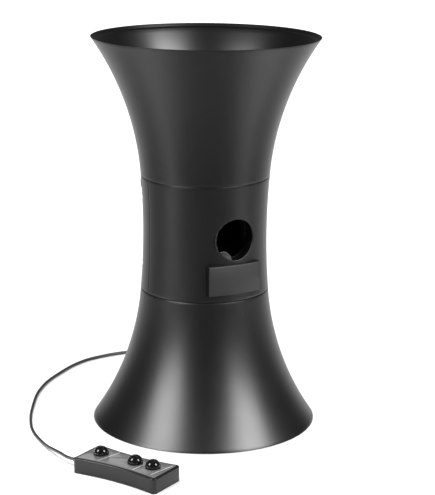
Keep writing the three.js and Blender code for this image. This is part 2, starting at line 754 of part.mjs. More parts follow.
function addBatteries() {
  place(robot, "battery_cup", batteryCup(), innerBlack());
  place(robot, "battery_door", batteryDoor(), innerBlack());
  ring(CELLS, CELL_RING, (x, y) => [x, y]).forEach(([x, y], i) => {
    const sleeve = cell(i % 2 === 1).translate(x, y, CELL_BOTTOM);
    place(robot, `battery_cell_${i + 1}`, sleeve, cellSleeve());
  });
  const cellTop = CELL_BOTTOM + CELL_LENGTH;
  const upperZ = CUP_ROOF - FIT_GAP - 1;
  const upper = contactPlate(upperZ, upperZ + 1, cellTop + FIT_GAP);
  place(robot, "upper_contact_plate", upper, brass());
  const lowerZ = DOOR_BOTTOM + 3 + FIT_GAP;
  const lower = contactPlate(lowerZ, lowerZ + 1, CELL_BOTTOM - FIT_GAP);
  place(robot, "lower_contact_plate", lower, brass());
}

// The remote control, lying along its own X with the cord at the -X end

function remoteOutline(inset = 0) {
  const x = REMOTE_LENGTH / 2 - inset;
  const y = REMOTE_WIDTH / 2 - inset;
  const r = Math.max(REMOTE_CORNER - inset, 1.5);
  const quarter = Math.PI / 2;
  const side = (turn) => steps(-1, 1, 8).slice(1, 8).map((t) => [
    -turn * t * (x - r), turn * (y - REMOTE_WAIST * (1 - t * t)),
  ]);
  return polygon([
    ...arc(x - r, -y + r, r, -quarter, 0, 3),
    ...arc(x - r, y - r, r, 0, quarter, 3),
    ...side(1),
    ...arc(-x + r, y - r, r, quarter, 2 * quarter, 3),
    ...arc(-x + r, -y + r, r, 2 * quarter, 3 * quarter, 3),
    ...side(-1),
  ]);
}

const REMOTE_SCREWS = [[-50, -19], [-50, 19], [50, -19], [50, 19]];
const CORD_ENTRY_Y = -10;
const CORD_ENTRY_Z = 8.2;
const REMOTE_CEILING = REMOTE_HEIGHT - 2.4;
const REMOTE_BOARD_THICKNESS = 1.4;

// Holes on the remote's middle line for the knobs' stems
function stemHoles() {
  return Object.values(KNOBS_AT).map((x) => pinZ(x, 0, 4, 10, 20, 10));
}

// The underside plate, let into the skirt of the upper shell, with the pillars that carry the board
function remoteBase() {
  const plate = prism(remoteOutline(REMOTE_WALL + FIT_GAP), 0, REMOTE_PLATE);
  const pillarTop = REMOTE_BOARD_Z - FIT_GAP;
  const bosses = REMOTE_SCREWS.map(([x, y]) => pinZ(x, y, 4.2, 1, pillarTop, 8));
  const heads = REMOTE_SCREWS.map(([x, y]) => pinZ(x, y, 3.1, -1, 2.4, 8));
  const shanks = REMOTE_SCREWS.map(([x, y]) => pinZ(x, y, 1.7, -1, pillarTop + 1, 6));
  const rests = [[-38, 0], [38, 0]].map(([x, y]) => pinZ(x, y, 3, 1, pillarTop, 6));
  return cut(join(plate, ...bosses, ...rests), ...heads, ...shanks);
}

function remoteTop() {
  const edge = 2.2;
  const bevel = {
    depth: REMOTE_HEIGHT - edge, bevelEnabled: true, bevelThickness: edge, bevelSize: edge,
    bevelOffset: -edge, bevelSegments: 2,
  };
  const lump = new THREE.ExtrudeGeometry(remoteOutline(), bevel);
  const room = prism(remoteOutline(REMOTE_WALL), -1, REMOTE_CEILING);
  const reach = REMOTE_LENGTH;
  const below = box(-reach, reach, -reach, reach, -5, REMOTE_SKIRT_Z);
  const shell = cut(lump, below, room);
  const bosses = REMOTE_SCREWS.map(([x, y]) => pinZ(x, y, 3.6, REMOTE_BOARD_Z, REMOTE_CEILING + 0.5, 8));
  const pilots = REMOTE_SCREWS.map(([x, y]) => pinZ(x, y, 1.7, REMOTE_BOARD_Z - 1, 12, 6));
  const recess = prism(remoteOutline(3.4), REMOTE_HEIGHT - 1.1, REMOTE_HEIGHT + 1);
  const entry = pinX(CORD_ENTRY_Y, CORD_ENTRY_Z, 2.7, -REMOTE_LENGTH / 2 - 5, -50, 8);
  return cut(join(shell, ...bosses), ...pilots, recess, ...stemHoles(), entry);
}

function remotePanel() {
  const sheet = prism(remoteOutline(3.7), REMOTE_HEIGHT - 0.8, REMOTE_HEIGHT);
  return cut(sheet, ...stemHoles());
}

function remoteBoard() {
  const outline = roundedRectangle(-44, 44, -17, 17, 2);
  return prism(outline, REMOTE_BOARD_Z, REMOTE_BOARD_Z + REMOTE_BOARD_THICKNESS);
}

// A knob with a domed top and a fluted skirt, and the stem that turns in its potentiometer
function knob() {
  const flutes = 10;
  const skirtTop = KNOB_HEIGHT - KNOB_RADIUS;
  const dome = arc(0, skirtTop, KNOB_RADIUS, 0, Math.PI / 2, 4).slice(0, 4);
  const body = revolve([[0, 0], [KNOB_RADIUS, 0], ...dome, [0, KNOB_HEIGHT]], 18);
  const grooves = ring(flutes, KNOB_RADIUS + 0.45, (x, y) => pinZ(x, y, 1, -1, skirtTop + 1.4, 5, 0.5));
  const stem = pinZ(0, 0, 3, -6, 0.5, 8);
  return join(cut(body, ...grooves), stem);
}

function potentiometer() {
  const low = REMOTE_BOARD_Z + REMOTE_BOARD_THICKNESS + FIT_GAP;
  const body = prism(roundedRectangle(-8, 8, -7, 7, 1.5), low, REMOTE_CEILING - FIT_GAP);
  return cut(body, pinZ(0, 0, 3.6, low + 1, REMOTE_HEIGHT, 8));
}

function addRemote() {
  place(remote, "remote_base", remoteBase(), shellBlack());
  place(remote, "remote_top", remoteTop(), shellBlack());
  place(remote, "remote_panel", remotePanel(), panelGrey());
  place(remote, "remote_board", remoteBoard(), boardGreen());
  for (const [name, x] of Object.entries(KNOBS_AT)) {
    place(remote, name, knob().translate(x, 0, REMOTE_HEIGHT + FIT_GAP), knobBlack());
    place(remote, name.replace("knob", "potentiometer"), potentiometer().translate(x, 0, 0), innerBlack());
  }
  REMOTE_SCREWS.forEach(([x, y], i) => {
    const fastener = screw(2.6, 1.6, 1.2, 8.4).rotateX(Math.PI).translate(x, y, 2.1);
    place(remote, `remote_screw_${i + 1}`, fastener, zinc());
  });
}

// The cord: down behind the base, a stored coil, then round the left side to the remote

const BOOT_LENGTH = 12;
const PLUG_END = 108;
const CORD_GAP = 0.4;
const CORD_STRAIGHT = 4;
const CORD_STEP = 12;

// Points on the cord's centre line, from the robot's axis: [x, y, z]
const DROP_ROUTE = [
  [0, PLUG_END + CORD_GAP, JACK_Z], [0, 113.2, JACK_Z], [0, 121.7, 197.7], [0, 127.9, 191.5],
  [0, 130.2, 183], [0, 130.4, 160], [0, 130.4, 130], [0, 130.4, 100], [0, 130.4, 70], [0, 130.2, 45],
  [0, 130.6, 30.2], [0, 134.3, 16.2], [0, 144, 6.2], [0.4, 156, 2.4], [4.2, 167.4, CORD_Z],
  [12.5, 175.2, CORD_Z], [24, 177.6, CORD_Z], [38, 172.5, CORD_Z], [54, 160.5, CORD_Z],
  [69, 149.2, CORD_Z], [84, 140.6, 2.5],
];
const LEAD_ROUTE = [
  [119.5, 204.2, 15.6], [104, 221.5, 10.2], [89, 235.7, 5.2], [74, 246.6, 2.8], [58, 255.6, CORD_Z],
  [42, 262.8, CORD_Z], [23.4, 268.4, CORD_Z], [-18.3, 267.9, CORD_Z], [-49.1, 260.1, CORD_Z],
  [-97.8, 229, CORD_Z], [-141.1, 189.2, CORD_Z], [-182.4, 126.4, CORD_Z], [-213.1, 62.2, CORD_Z],
  [-220.6, 36.1, CORD_Z], [-225.2, 0, 2.6], [-226.6, -18, 3.9], [-226.9, -38, 6.3],
  [-226.2, -57.5, 8], [-225.2, -69.6, 8.3],
];

// The coil spirals in and out at a steady rate, and climbs a layer in the half turn of each reversal
function coilPoint(turn) {
  const perLayer = COIL_TURNS / COIL_LAYERS;
  const layer = Math.min(Math.floor(turn / perLayer), COIL_LAYERS - 1);
  const within = turn / perLayer - layer;
  const inward = layer % 2 === 0 ? within : 1 - within;
  const radius = COIL_OUTER + (COIL_INNER - COIL_OUTER) * inward;
  let level = 0;
  for (let k = 1; k < COIL_LAYERS; k += 1) {
    level += THREE.MathUtils.smoothstep(turn, k * perLayer - 0.25, k * perLayer + 0.25);
  }
  const angle = COIL_START_ANGLE + 2 * Math.PI * turn;
  return new THREE.Vector3(
    COIL_X + radius * Math.cos(angle),
    COIL_Y + radius * Math.sin(angle),
    COIL_BOTTOM_Z + COIL_LAYER_RISE * level,
  );
}

function coilCentreLine() {
  const turns = steps(0, COIL_TURNS, Math.round(COIL_TURNS * COIL_STEPS)).map(coilPoint);
  const tail = 2 * CORD_RADIUS;
  const startWay = turns[0].clone().sub(turns[1]).setZ(0).normalize();
  const last = turns[turns.length - 1];
  const endWay = last.clone().sub(turns[turns.length - 2]).setZ(0).normalize();
  const start = turns[0].clone().addScaledVector(startWay, tail);
  const end = last.clone().addScaledVector(endWay, tail);
  return { points: [start, ...turns, end], startWay, endWay };
}

// The least clear distance between stretches of the coil that lie more than a third of a turn apart
function coilSelfGap(points) {
  let least = Infinity;
  for (let i = 0; i < points.length; i += 1) {
    for (let j = i + 8; j < points.length; j += 1) {
      least = Math.min(least, points[i].distanceTo(points[j]));
    }
  }
  return least - 2 * CORD_RADIUS;
}

function cordTube(points) {
  const curve = new THREE.CatmullRomCurve3(points, false, "centripetal");
  const length = curve.getLength();
  const count = Math.round(length / CORD_STEP);
  const section = polygon(circlePoints(CORD_RADIUS, 8));
  const tube = new THREE.ExtrudeGeometry(section, { steps: count, extrudePath: curve, bevelEnabled: false });
  return { tube, length, count };
}

function vectors(route) {
  return route.map(([x, y, z]) => new THREE.Vector3(x, y, z));
}

// A point on the line by which the cord enters the remote, from the robot's axis
function entryPoint(x) {
  return new THREE.Vector3(x, CORD_ENTRY_Y, CORD_ENTRY_Z)
    .applyAxisAngle(new THREE.Vector3(0, 0, 1), REMOTE_ANGLE)
    .add(new THREE.Vector3(REMOTE_X - AXIS_X, REMOTE_Y - AXIS_Y, 0));
}

function remotePlug() {
  const start = 64;
  return revolve([
    [0, start], [2.7, start], [2.7, 79], [5.5, 79.2], [5.8, 82], [5.6, 93], [4.6, 94.5], [3.9, 95],
    [2.9, PLUG_END], [0, PLUG_END],
  ], 12).rotateX(-Math.PI / 2).translate(0, 0, JACK_Z);
}

function remoteBoot() {
  const wall = REMOTE_LENGTH / 2;
  const section = [
    [0, -4], [2.2, -4], [2.2, 0.3], [4.2, 0.3], [4.1, 3], [3.3, 8], [2.6, BOOT_LENGTH], [0, BOOT_LENGTH],
  ];
  return revolve(section, 10).rotateY(-Math.PI / 2).translate(-wall, CORD_ENTRY_Y, CORD_ENTRY_Z);
}

function coilTie() {
  const angle = THREE.MathUtils.degToRad(205);
  const middle = (COIL_OUTER + COIL_INNER) / 2;
  const halfWide = (COIL_OUTER - COIL_INNER) / 2 + CORD_RADIUS + 1.6;
  const low = 0.2;
  const high = COIL_BOTTOM_Z + COIL_LAYER_RISE * (COIL_LAYERS - 1) + CORD_RADIUS + 1.2;
  const band = roundedRectangle(-halfWide, halfWide, low, high, 4);
  band.holes.push(roundedRectangle(-halfWide + 0.8, halfWide - 0.8, low + 0.8, high - 0.8, 3.2));
  const loop = prism(band, -4, 4).rotateX(Math.PI / 2);
  return loop.translate(middle, 0, 0).rotateZ(angle).translate(COIL_X, COIL_Y, 0);
}

function addCord() {
  const { points, startWay, endWay } = coilCentreLine();
  const first = points[0];
  const last = points[points.length - 1];
  const dropEnd = first.clone().addScaledVector(startWay, CORD_GAP);
  const dropNear = dropEnd.clone().addScaledVector(startWay, CORD_STRAIGHT);
  const drop = cordTube([...vectors(DROP_ROUTE), dropNear, dropEnd]);
  const leadStart = last.clone().addScaledVector(endWay, CORD_GAP);
  const leadNear = leadStart.clone().addScaledVector(endWay, CORD_STRAIGHT);
  const bootTip = -REMOTE_LENGTH / 2 - BOOT_LENGTH - CORD_GAP;
  const bootEnd = entryPoint(bootTip);
  const bootNear = entryPoint(bootTip - CORD_STRAIGHT);
  const lead = cordTube([leadStart, leadNear, ...vectors(LEAD_ROUTE), bootNear, bootEnd]);
  const turnsLength = points.slice(1).reduce((sum, point, i) => sum + point.distanceTo(points[i]), 0);
  console.log(`coil self gap ${coilSelfGap(points).toFixed(2)} mm`);
  console.log(`cord drop ${drop.length.toFixed(0)} mm, coil ${turnsLength.toFixed(0)} mm`);
  console.log(`cord lead ${lead.length.toFixed(0)} mm, tube steps ${drop.count + lead.count}`);
  const hexagon = circlePoints(CORD_RADIUS, 6, Math.PI / 6);
  place(robot, "remote_plug", remotePlug(), cordBlack());
  place(robot, "cord_drop", drop.tube, cordBlack());
  place(robot, "cord_coil", sweep(points, hexagon, new THREE.Vector3(0, 0, 1)), cordBlack());
  place(robot, "coil_tie", coilTie(), rubber());
  place(robot, "cord_lead", lead.tube, cordBlack());
  place(remote, "remote_boot", remoteBoot(), cordBlack());
}

addShells();
addFeed();
addThrow();
addDeck();
addBatteries();
addRemote();
addCord();

export default model;
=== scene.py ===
from collections import Counter
from math import acos, asin, atan2, cos, degrees, dist, hypot, pi, radians, sin, sqrt

import bpy
from mathutils import Euler, Matrix, Quaternion, Vector


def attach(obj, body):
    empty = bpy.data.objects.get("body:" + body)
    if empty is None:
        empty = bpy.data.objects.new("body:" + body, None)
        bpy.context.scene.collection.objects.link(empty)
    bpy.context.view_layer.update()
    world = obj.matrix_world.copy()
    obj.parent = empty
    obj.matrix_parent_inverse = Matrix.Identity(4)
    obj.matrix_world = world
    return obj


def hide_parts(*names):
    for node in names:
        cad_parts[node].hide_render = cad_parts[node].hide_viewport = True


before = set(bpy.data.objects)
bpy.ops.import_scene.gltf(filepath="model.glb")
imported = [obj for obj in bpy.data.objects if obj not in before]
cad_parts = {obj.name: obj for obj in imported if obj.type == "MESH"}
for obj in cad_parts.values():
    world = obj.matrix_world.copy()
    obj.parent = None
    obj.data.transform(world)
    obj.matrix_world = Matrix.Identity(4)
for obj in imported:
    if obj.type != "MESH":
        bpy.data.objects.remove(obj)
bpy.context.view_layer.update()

mm = 0.001
hair = 0.01 * mm
axisX = 44.5 * mm
axisY = 30.5 * mm
lowerSeam = 171 * mm
upperSeam = 314 * mm
topOfRobot = 485 * mm
middleHeight = topOfRobot / 2
seamGap = 0.15
seamHalf = seamGap * mm
outletHeight = 247 * mm
axisFoot = Vector((axisX, axisY, 0))


# Camera, solved from the photograph's outline

cameraSetup = {
    "place": (-0.915, -1.662, 0.7163), "forward": (0.48479, 0.83904, -0.24698), "roll": 0.0092,
    "lens": 116.65,
}


def newObject(name, data):
    made = bpy.data.objects.new(name, data)
    bpy.context.scene.collection.objects.link(made)
    return made


def addCamera(setup):
    data = bpy.data.cameras.new("camera")
    camera = newObject("camera", data)
    data.lens = setup["lens"]
    data.clip_end = 60
    turned = Vector(setup["forward"]).to_track_quat("-Z", "Y") @ Quaternion((0, 0, 1), setup["roll"])
    camera.matrix_world = Matrix.Translation(setup["place"]) @ turned.to_matrix().to_4x4()
    bpy.context.scene.camera = camera


addCamera(cameraSetup)
print("camera set")


# The cord: from the plug down behind the base, a stored coil, then round to the remote

cordSetup = {
    "radius": 2, "coilCentre": (107.3, 169.1), "outer": 31.7, "inner": 16.3, "turns": 13.361,
    "layers": 4, "steps": 18, "layerChange": 0.25, "bottom": 3.3, "rise": 4.5, "gap": 0.4,
    "straight": 4,
    "dropRoute": [
        (0, 108.4, 200), (0, 113.2, 200), (0, 121.7, 197.7), (0, 127.9, 191.5), (0, 130.2, 183),
        (0, 130.4, 160), (0, 130.4, 130), (0, 130.4, 100), (0, 130.4, 70), (0, 130.2, 45),
        (0, 130.6, 30.2), (0, 134.3, 16.2), (0, 144, 6.2), (0.4, 156, 2.4), (4.2, 167.4, 2.2),
        (12.5, 175.2, 2.2), (24, 177.6, 2.2), (38, 172.5, 2.2), (54, 160.5, 2.2), (69, 149.2, 2.2),
        (84, 140.6, 2.5),
    ],
    "leadRoute": [
        (119.5, 204.2, 15.6), (104, 221.5, 10.2), (89, 235.7, 5.2), (74, 246.6, 2.8), (58, 255.6, 2.2),
        (42, 262.8, 2.2), (23.4, 268.4, 2.2), (-18.3, 267.9, 2.2), (-49.1, 260.1, 2.2),
        (-97.8, 229, 2.2), (-141.1, 189.2, 2.2), (-182.4, 126.4, 2.2), (-213.1, 62.2, 2.2),
        (-220.6, 36.1, 2.2), (-225.2, 0, 2.6), (-226.6, -18, 3.9), (-226.9, -38, 6.3),
        (-226.2, -57.5, 8), (-225.2, -69.6, 8.3),
    ],
}
remoteSetup = {
    "place": (-135.3, -108.6), "turn": radians(-63), "length": 117, "width": 52,
    "sideways": -1.9, "waist": 5, "corner": 4.5, "height": 18.6, "skirt": 0.4, "wall": 2,
    "ceiling": 16.2, "edge": 2, "recess": 3.4, "panel": 3.7, "panelThick": 0.8, "panelEdge": 0.3,
    "knobs": {"feed_knob": -37.6, "speed_knob_top": 11.4, "speed_knob_bottom": 36.3},
    "baseInset": 2.3, "baseThick": 1.8, "pillar": 4.2 * mm, "cordEntry": (-10, 8.2), "boot": 12,
    "screws": ((-50, 50), (-19, 17.6)),
}


def remotePoint(along, across, height):
    # a point of the remote in the row frame, in metres, from millimetres along and across it
    turned = Matrix.Rotation(remoteSetup["turn"], 3, "Z") @ Vector((along, across, height))
    return (turned + Vector((*remoteSetup["place"], 0))) * mm


def smoothStep(value, low, high):
    t = min(max((value - low) / (high - low), 0), 1)
    return t * t * (3 - 2 * t)


def coilPoint(turn):
    s = cordSetup
    perLayer = s["turns"] / s["layers"]
    layer = min(int(turn / perLayer), s["layers"] - 1)
    within = turn / perLayer - layer
    inward = within if layer % 2 == 0 else 1 - within
    radius = s["outer"] + (s["inner"] - s["outer"]) * inward
    change = s["layerChange"]
    level = sum(smoothStep(turn, k * perLayer - change, k * perLayer + change) for k in range(1, s["layers"]))
    angle = -pi / 2 + 2 * pi * turn
    x, y = s["coilCentre"]
    height = s["bottom"] + s["rise"] * level
    return Vector((x + radius * cos(angle), y + radius * sin(angle), height))


def flatDirection(start, end):
    return (end - start).xy.to_3d().normalized()


def cordRoute():
    # the whole centre line from the plug to the remote, from the robot's axis, in millimetres
    s = cordSetup
    count = round(s["turns"] * s["steps"])
    coil = [coilPoint(s["turns"] * i / count) for i in range(count + 1)]
    startWay = flatDirection(coil[1], coil[0])
    endWay = flatDirection(coil[-2], coil[-1])
    for reach in (2 * s["radius"] + s["gap"], s["straight"]):
        coil = [coil[0] + startWay * reach] + coil + [coil[-1] + endWay * reach]
    tip = -remoteSetup["length"] / 2 - remoteSetup["boot"] - s["gap"]
    shift = axisFoot / mm
    entry = remoteSetup["cordEntry"]
    ends = [remotePoint(along, *entry) / mm - shift for along in (tip - s["straight"], tip)]
    points = s["dropRoute"] + coil + s["leadRoute"] + ends
    return [(Vector(point) + shift) * mm for point in points]


def addCord(name, points, radius):
    data = bpy.data.curves.new(name, "CURVE")
    data.dimensions = "3D"
    data.bevel_depth = radius
    data.bevel_resolution = 4
    data.resolution_u = 4
    data.use_fill_caps = True
    spline = data.splines.new("BEZIER")
    spline.bezier_points.add(len(points) - 1)
    for knot, point in zip(spline.bezier_points, points):
        knot.co = point
        knot.handle_left_type = knot.handle_right_type = "AUTO"
    return newObject(name, data)


def activate(*pieces):
    # selects these pieces alone, and the first one leads
    bpy.ops.object.select_all(action="DESELECT")
    for piece in pieces:
        piece.select_set(True)
    bpy.context.view_layer.objects.active = pieces[0]


def toMesh(piece):
    activate(piece)
    bpy.ops.object.convert(target="MESH")
    return piece


def lineFollowed(points):
    # the cord's own centre line, close enough together to have its length
    bare = toMesh(addCord("centre_line", points, 0))
    followed = [tuple(vertex.co) for vertex in bare.data.vertices]
    bpy.data.objects.remove(bare)
    return followed


route = cordRoute()
followed = lineFollowed(route)
cord = toMesh(addCord("remote_cord", route, cordSetup["radius"] * mm))
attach(cord, "root")
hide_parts("cord_drop", "cord_coil", "cord_lead")


# Modelling helpers: each new piece starts as a primitive and stays at the origin

def newPiece(name, addPrimitive, **settings):
    bpy.ops.object.select_all(action="DESELECT")
    addPrimitive(**settings)
    piece = bpy.context.object
    piece.name = piece.data.name = name
    if settings.get("location"):
        bpy.ops.object.transform_apply()
    return piece


def editing(piece):
    activate(piece)
    bpy.ops.object.mode_set(mode="EDIT")


def doneEditing():
    bpy.ops.object.mode_set(mode="OBJECT")
    bpy.context.tool_settings.mesh_select_mode = (True, False, False)


def selectAll():
    bpy.ops.mesh.select_all(action="SELECT")


def extrude(step):
    bpy.ops.mesh.extrude_region_move(TRANSFORM_OT_translate={"value": step})


def settleFaces():
    # all faces look outwards, and the editing ends
    selectAll()
    bpy.ops.mesh.normals_make_consistent()
    doneEditing()


def applyModifier(piece, kind, **settings):
    activate(piece)
    modifier = piece.modifiers.new(kind.lower(), kind)
    for key, value in settings.items():
        setattr(modifier, key, value)
    bpy.ops.object.modifier_apply(modifier=modifier.name)


def softenEdges(piece, width, limit=38, segments=2):
    # bevels the edges that bend by more than the limit, in degrees
    applyModifier(piece, "BEVEL", width=width, segments=segments, angle_limit=radians(limit))


def choose(piece, kind, wanted):
    # leaves the wanted vertices, edges or faces selected, in edit mode
    mesh = piece.data
    groups = {"VERT": mesh.vertices, "EDGE": mesh.edges, "FACE": mesh.polygons}
    for group in groups.values():
        group.foreach_set("select", [False] * len(group))
    for part in groups[kind]:
        if wanted(part):
            part.select = True
            for index in ([] if kind == "VERT" else part.vertices):
                mesh.vertices[index].select = True
    bpy.context.tool_settings.mesh_select_mode = [kind == name for name in groups]
    editing(piece)


def chooseRim(piece, near):
    # the edges with one face only whose middle is near
    uses = Counter(key for face in piece.data.polygons for key in face.edge_keys)
    spots = piece.data.vertices

    def wanted(edge):
        a, b = edge.vertices
        return uses[edge.key] == 1 and near((spots[a].co + spots[b].co) / 2)

    choose(piece, "EDGE", wanted)


def roundEdges(piece, width, segments, wanted):
    # wanted takes the edge's two ends
    spots = piece.data.vertices
    choose(piece, "EDGE", lambda edge: wanted(*(spots[index].co for index in edge.vertices)))
    bpy.ops.mesh.bevel(offset=width, segments=segments, affect="EDGES", clamp_overlap=True)
    doneEditing()


def joinWith(piece, *others):
    activate(piece, *others)
    bpy.ops.object.join()


def copyPiece(piece, name, shift):
    copied = newObject(name, piece.data.copy())
    copied.data.name = name
    activate(copied)
    copied.location = shift
    bpy.ops.object.transform_apply()
    return copied


def smoothSurface(piece, limit):
    activate(piece)
    bpy.ops.object.shade_smooth_by_angle(angle=radians(limit))


def drawLine(name, points, closed):
    # one vertex of a small plane, carried from point to point
    piece = newPiece(name, bpy.ops.mesh.primitive_plane_add, size=mm)
    editing(piece)
    selectAll()
    bpy.ops.mesh.merge(type="CENTER")
    bpy.ops.transform.translate(value=points[0])
    for start, end in zip(points, points[1:]):
        extrude(Vector(end) - Vector(start))
    if closed:
        doneEditing()
        choose(piece, "VERT", lambda vertex: vertex.index in (0, len(points) - 1))
        bpy.ops.mesh.edge_face_add()
    return piece


def turnedPiece(name, profile, centre=axisFoot, steps=192, closed=True, around="Z", angle=2 * pi, start=0):
    # a (radius, height) profile in millimetres, spun about an axis through the centre
    ways = {
        "Z": lambda r, h: (r * cos(start), r * sin(start), h),
        "X": lambda r, h: (h, r, 0),
        "Y": lambda r, h: (r, h, 0),
    }
    piece = drawLine(name, [centre + Vector(ways[around](r, h)) * mm for r, h in profile], closed)
    selectAll()
    axis = [float(letter == around) for letter in "XYZ"]
    bpy.ops.mesh.spin(steps=steps, angle=angle, center=centre, axis=axis)
    selectAll()
    bpy.ops.mesh.remove_doubles(threshold=0.004 * mm)
    settleFaces()
    return piece


def raisedPiece(name, outline, lift):
    # a closed outline filled and carried along the lift
    piece = drawLine(name, outline, True)
    selectAll()
    bpy.ops.mesh.edge_face_add()
    extrude(lift)
    settleFaces()
    return piece


def pin(name, centre, radius, length, around="Z", sides=48):
    turns = {"X": (0, pi / 2, 0), "Y": (pi / 2, 0, 0), "Z": (0, 0, 0)}
    return newPiece(
        name, bpy.ops.mesh.primitive_cylinder_add, vertices=sides, radius=radius, depth=length,
        location=centre, rotation=turns[around],
    )


def block(name, low, high):
    middle = [(a + b) / 2 for a, b in zip(low, high)]
    size = [b - a for a, b in zip(low, high)]
    return newPiece(name, bpy.ops.mesh.primitive_cube_add, size=1, location=middle, scale=size)


def turnPiece(piece, turn, centre=axisFoot, around="Z"):
    editing(piece)
    selectAll()
    bpy.ops.transform.rotate(value=-radians(turn), orient_axis=around, center_override=centre)
    doneEditing()
    return piece


def arcPoints(x, y, radius, start, end, count):
    # angles in degrees
    turns = [radians(start + (end - start) * i / count) for i in range(count + 1)]
    return [(x + radius * cos(turn), y + radius * sin(turn)) for turn in turns]


def cornerArcs(x, low, high, radius, count):
    # the four rounded corners of an upright rectangle, from the lower right one on
    left, right = radius - x, x - radius
    corners = (right, low + radius), (right, high - radius), (left, high - radius), (left, low + radius)
    return [arcPoints(*corner, radius, 90 * i - 90, 90 * i, count) for i, corner in enumerate(corners)]


def evenly(low, high, count):
    return [low + (high - low) * i / count for i in range(count + 1)]


def addTo(piece, *others, operation="UNION"):
    for other in others:
        applyModifier(piece, "BOOLEAN", operation=operation, object=other)
        bpy.data.objects.remove(other)


def cutAway(piece, *tools):
    addTo(piece, *tools, operation="DIFFERENCE")


def finishPiece(piece, material, slot, *nodes, body="root", smooth=32):
    smoothSurface(piece, smooth)
    piece.data.materials.clear()
    piece.data.materials.append(material)
    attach(piece, body)
    if nodes:
        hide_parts(*nodes)
    return piece


# Finishes

def wireMaths(operation):
    def made(self, *others):
        return self.finish.node("Math", dict(enumerate((self, *others))), operation=operation)
    return made


class Wire:
    # one socket, so that shader maths can be written as an expression

    def __init__(self, finish, socket):
        self.finish = finish
        self.socket = socket

    __add__ = __radd__ = wireMaths("ADD")
    __sub__ = wireMaths("SUBTRACT")
    __mul__ = __rmul__ = wireMaths("MULTIPLY")
    __gt__ = wireMaths("GREATER_THAN")
    __lt__ = wireMaths("LESS_THAN")
    __abs__ = wireMaths("ABSOLUTE")


class Finish:
    # a procedural material round one Principled shader

    def __init__(self, name, **even):
        self.material = bpy.data.materials.new(name)
        self.material.use_nodes = True
        self.tree = self.material.node_tree
        self.shader = self.tree.nodes["Principled BSDF"]
        for key, value in even.items():
            self.shader.inputs[key.replace("_", " ")].default_value = value

    def node(self, kind, values, output=0, **settings):
        made = self.tree.nodes.new(f"ShaderNode{kind}")
        for key, value in settings.items():
            setattr(made, key, value)
        for key, value in values.items():
            self.feed(made.inputs[key], value)
        return Wire(self, made.outputs[output])

    def feed(self, socket, value):
        if isinstance(value, Wire):
            self.tree.links.new(value.socket, socket)
        else:
            socket.default_value = value

    def varying(self, name, value):
        self.feed(self.shader.inputs[name], value)

    def place(self):
        return self.node("TexCoord", {}, output="Object")

    def noise(self, scale, detail, roughness):
        values = {"Vector": self.place(), "Scale": scale, "Detail": detail, "Roughness": roughness}
        return self.node("TexNoise", values)

    def blend(self, share, low, high):
        return self.node("Mix", {"Factor": share, 6: low, 7: high}, output=2, data_type="RGBA")

    def bump(self, height, strength, distance):
        values = {"Height": height, "Strength": strength, "Distance": distance}
        self.varying("Normal", self.node("Bump", values))


def grey(value):
    return (value, value, value, 1)


def mouldedPlastic(name, shade, rough, grain=0.5, specular=0.5, cloud=0.05, hue=(1, 1, 1)):
    # satin moulded plastic: cloudy gloss, a faint flow waviness and a fine spark-eroded grain
    finish = Finish(name, Specular_IOR_Level=specular)
    clouds = finish.noise(38, 4, 0.55)
    specks = finish.noise(900, 2, 0.6)
    low, high = ([shade * level * part for part in hue] + [1] for level in (0.82, 1.2))
    finish.varying("Base Color", finish.blend(clouds, low, high))
    finish.varying("Roughness", rough - cloud / 2 + clouds * cloud + specks * 0.03)
    waves = finish.noise(22, 1, 0.4)
    finish.bump(waves * 0.75 + specks * 0.02 * grain, 0.35, 0.35 * mm)
    return finish.material


shellFinish = mouldedPlastic("satin_black_shell", 0.006, 0.33, specular=0.17)
remoteFinish = mouldedPlastic("black_remote_shell", 0.013, 0.24, specular=0.33)
plateFinish = mouldedPlastic("matt_black_plate", 0.016, 0.46, specular=0.2)
innerFinish = mouldedPlastic("inner_black", 0.014, 0.55, specular=0.4)
# near black that paints the shade in the lower seam, in the outlet and on the plate's sides
paintedShadeFinish = mouldedPlastic("painted_shade_black", 0.002, 0.6, specular=0.04)
feedFinish = mouldedPlastic("grey_feed_nylon", 0.09, 0.45)
rubberFinish = mouldedPlastic("tyre_rubber", 0.014, 0.78, grain=2)
cordFinish = mouldedPlastic("cord_jacket", 0.035, 0.34, specular=0.7)
tieFinish = mouldedPlastic("tie_strap", 0.02, 0.5)
cellFinish = mouldedPlastic("cell_sleeve", 0.07, 0.35, hue=(0.8, 1, 1.4))
boardFinish = mouldedPlastic("board_green", 0.05, 0.4, hue=(0.3, 1.7, 0.6))
knobFinish = mouldedPlastic("gloss_black_knob", 0.004, 0.07, grain=0, cloud=0.03)


panelSetup = {
    "shade": 0.22, "print": 0.78, "lines": ((-25.4, 0.2), (22.3, 0.1), (49.3, 0.16)), "lineWidth": 1.1,
    "lineEnds": (-18, 17),
}


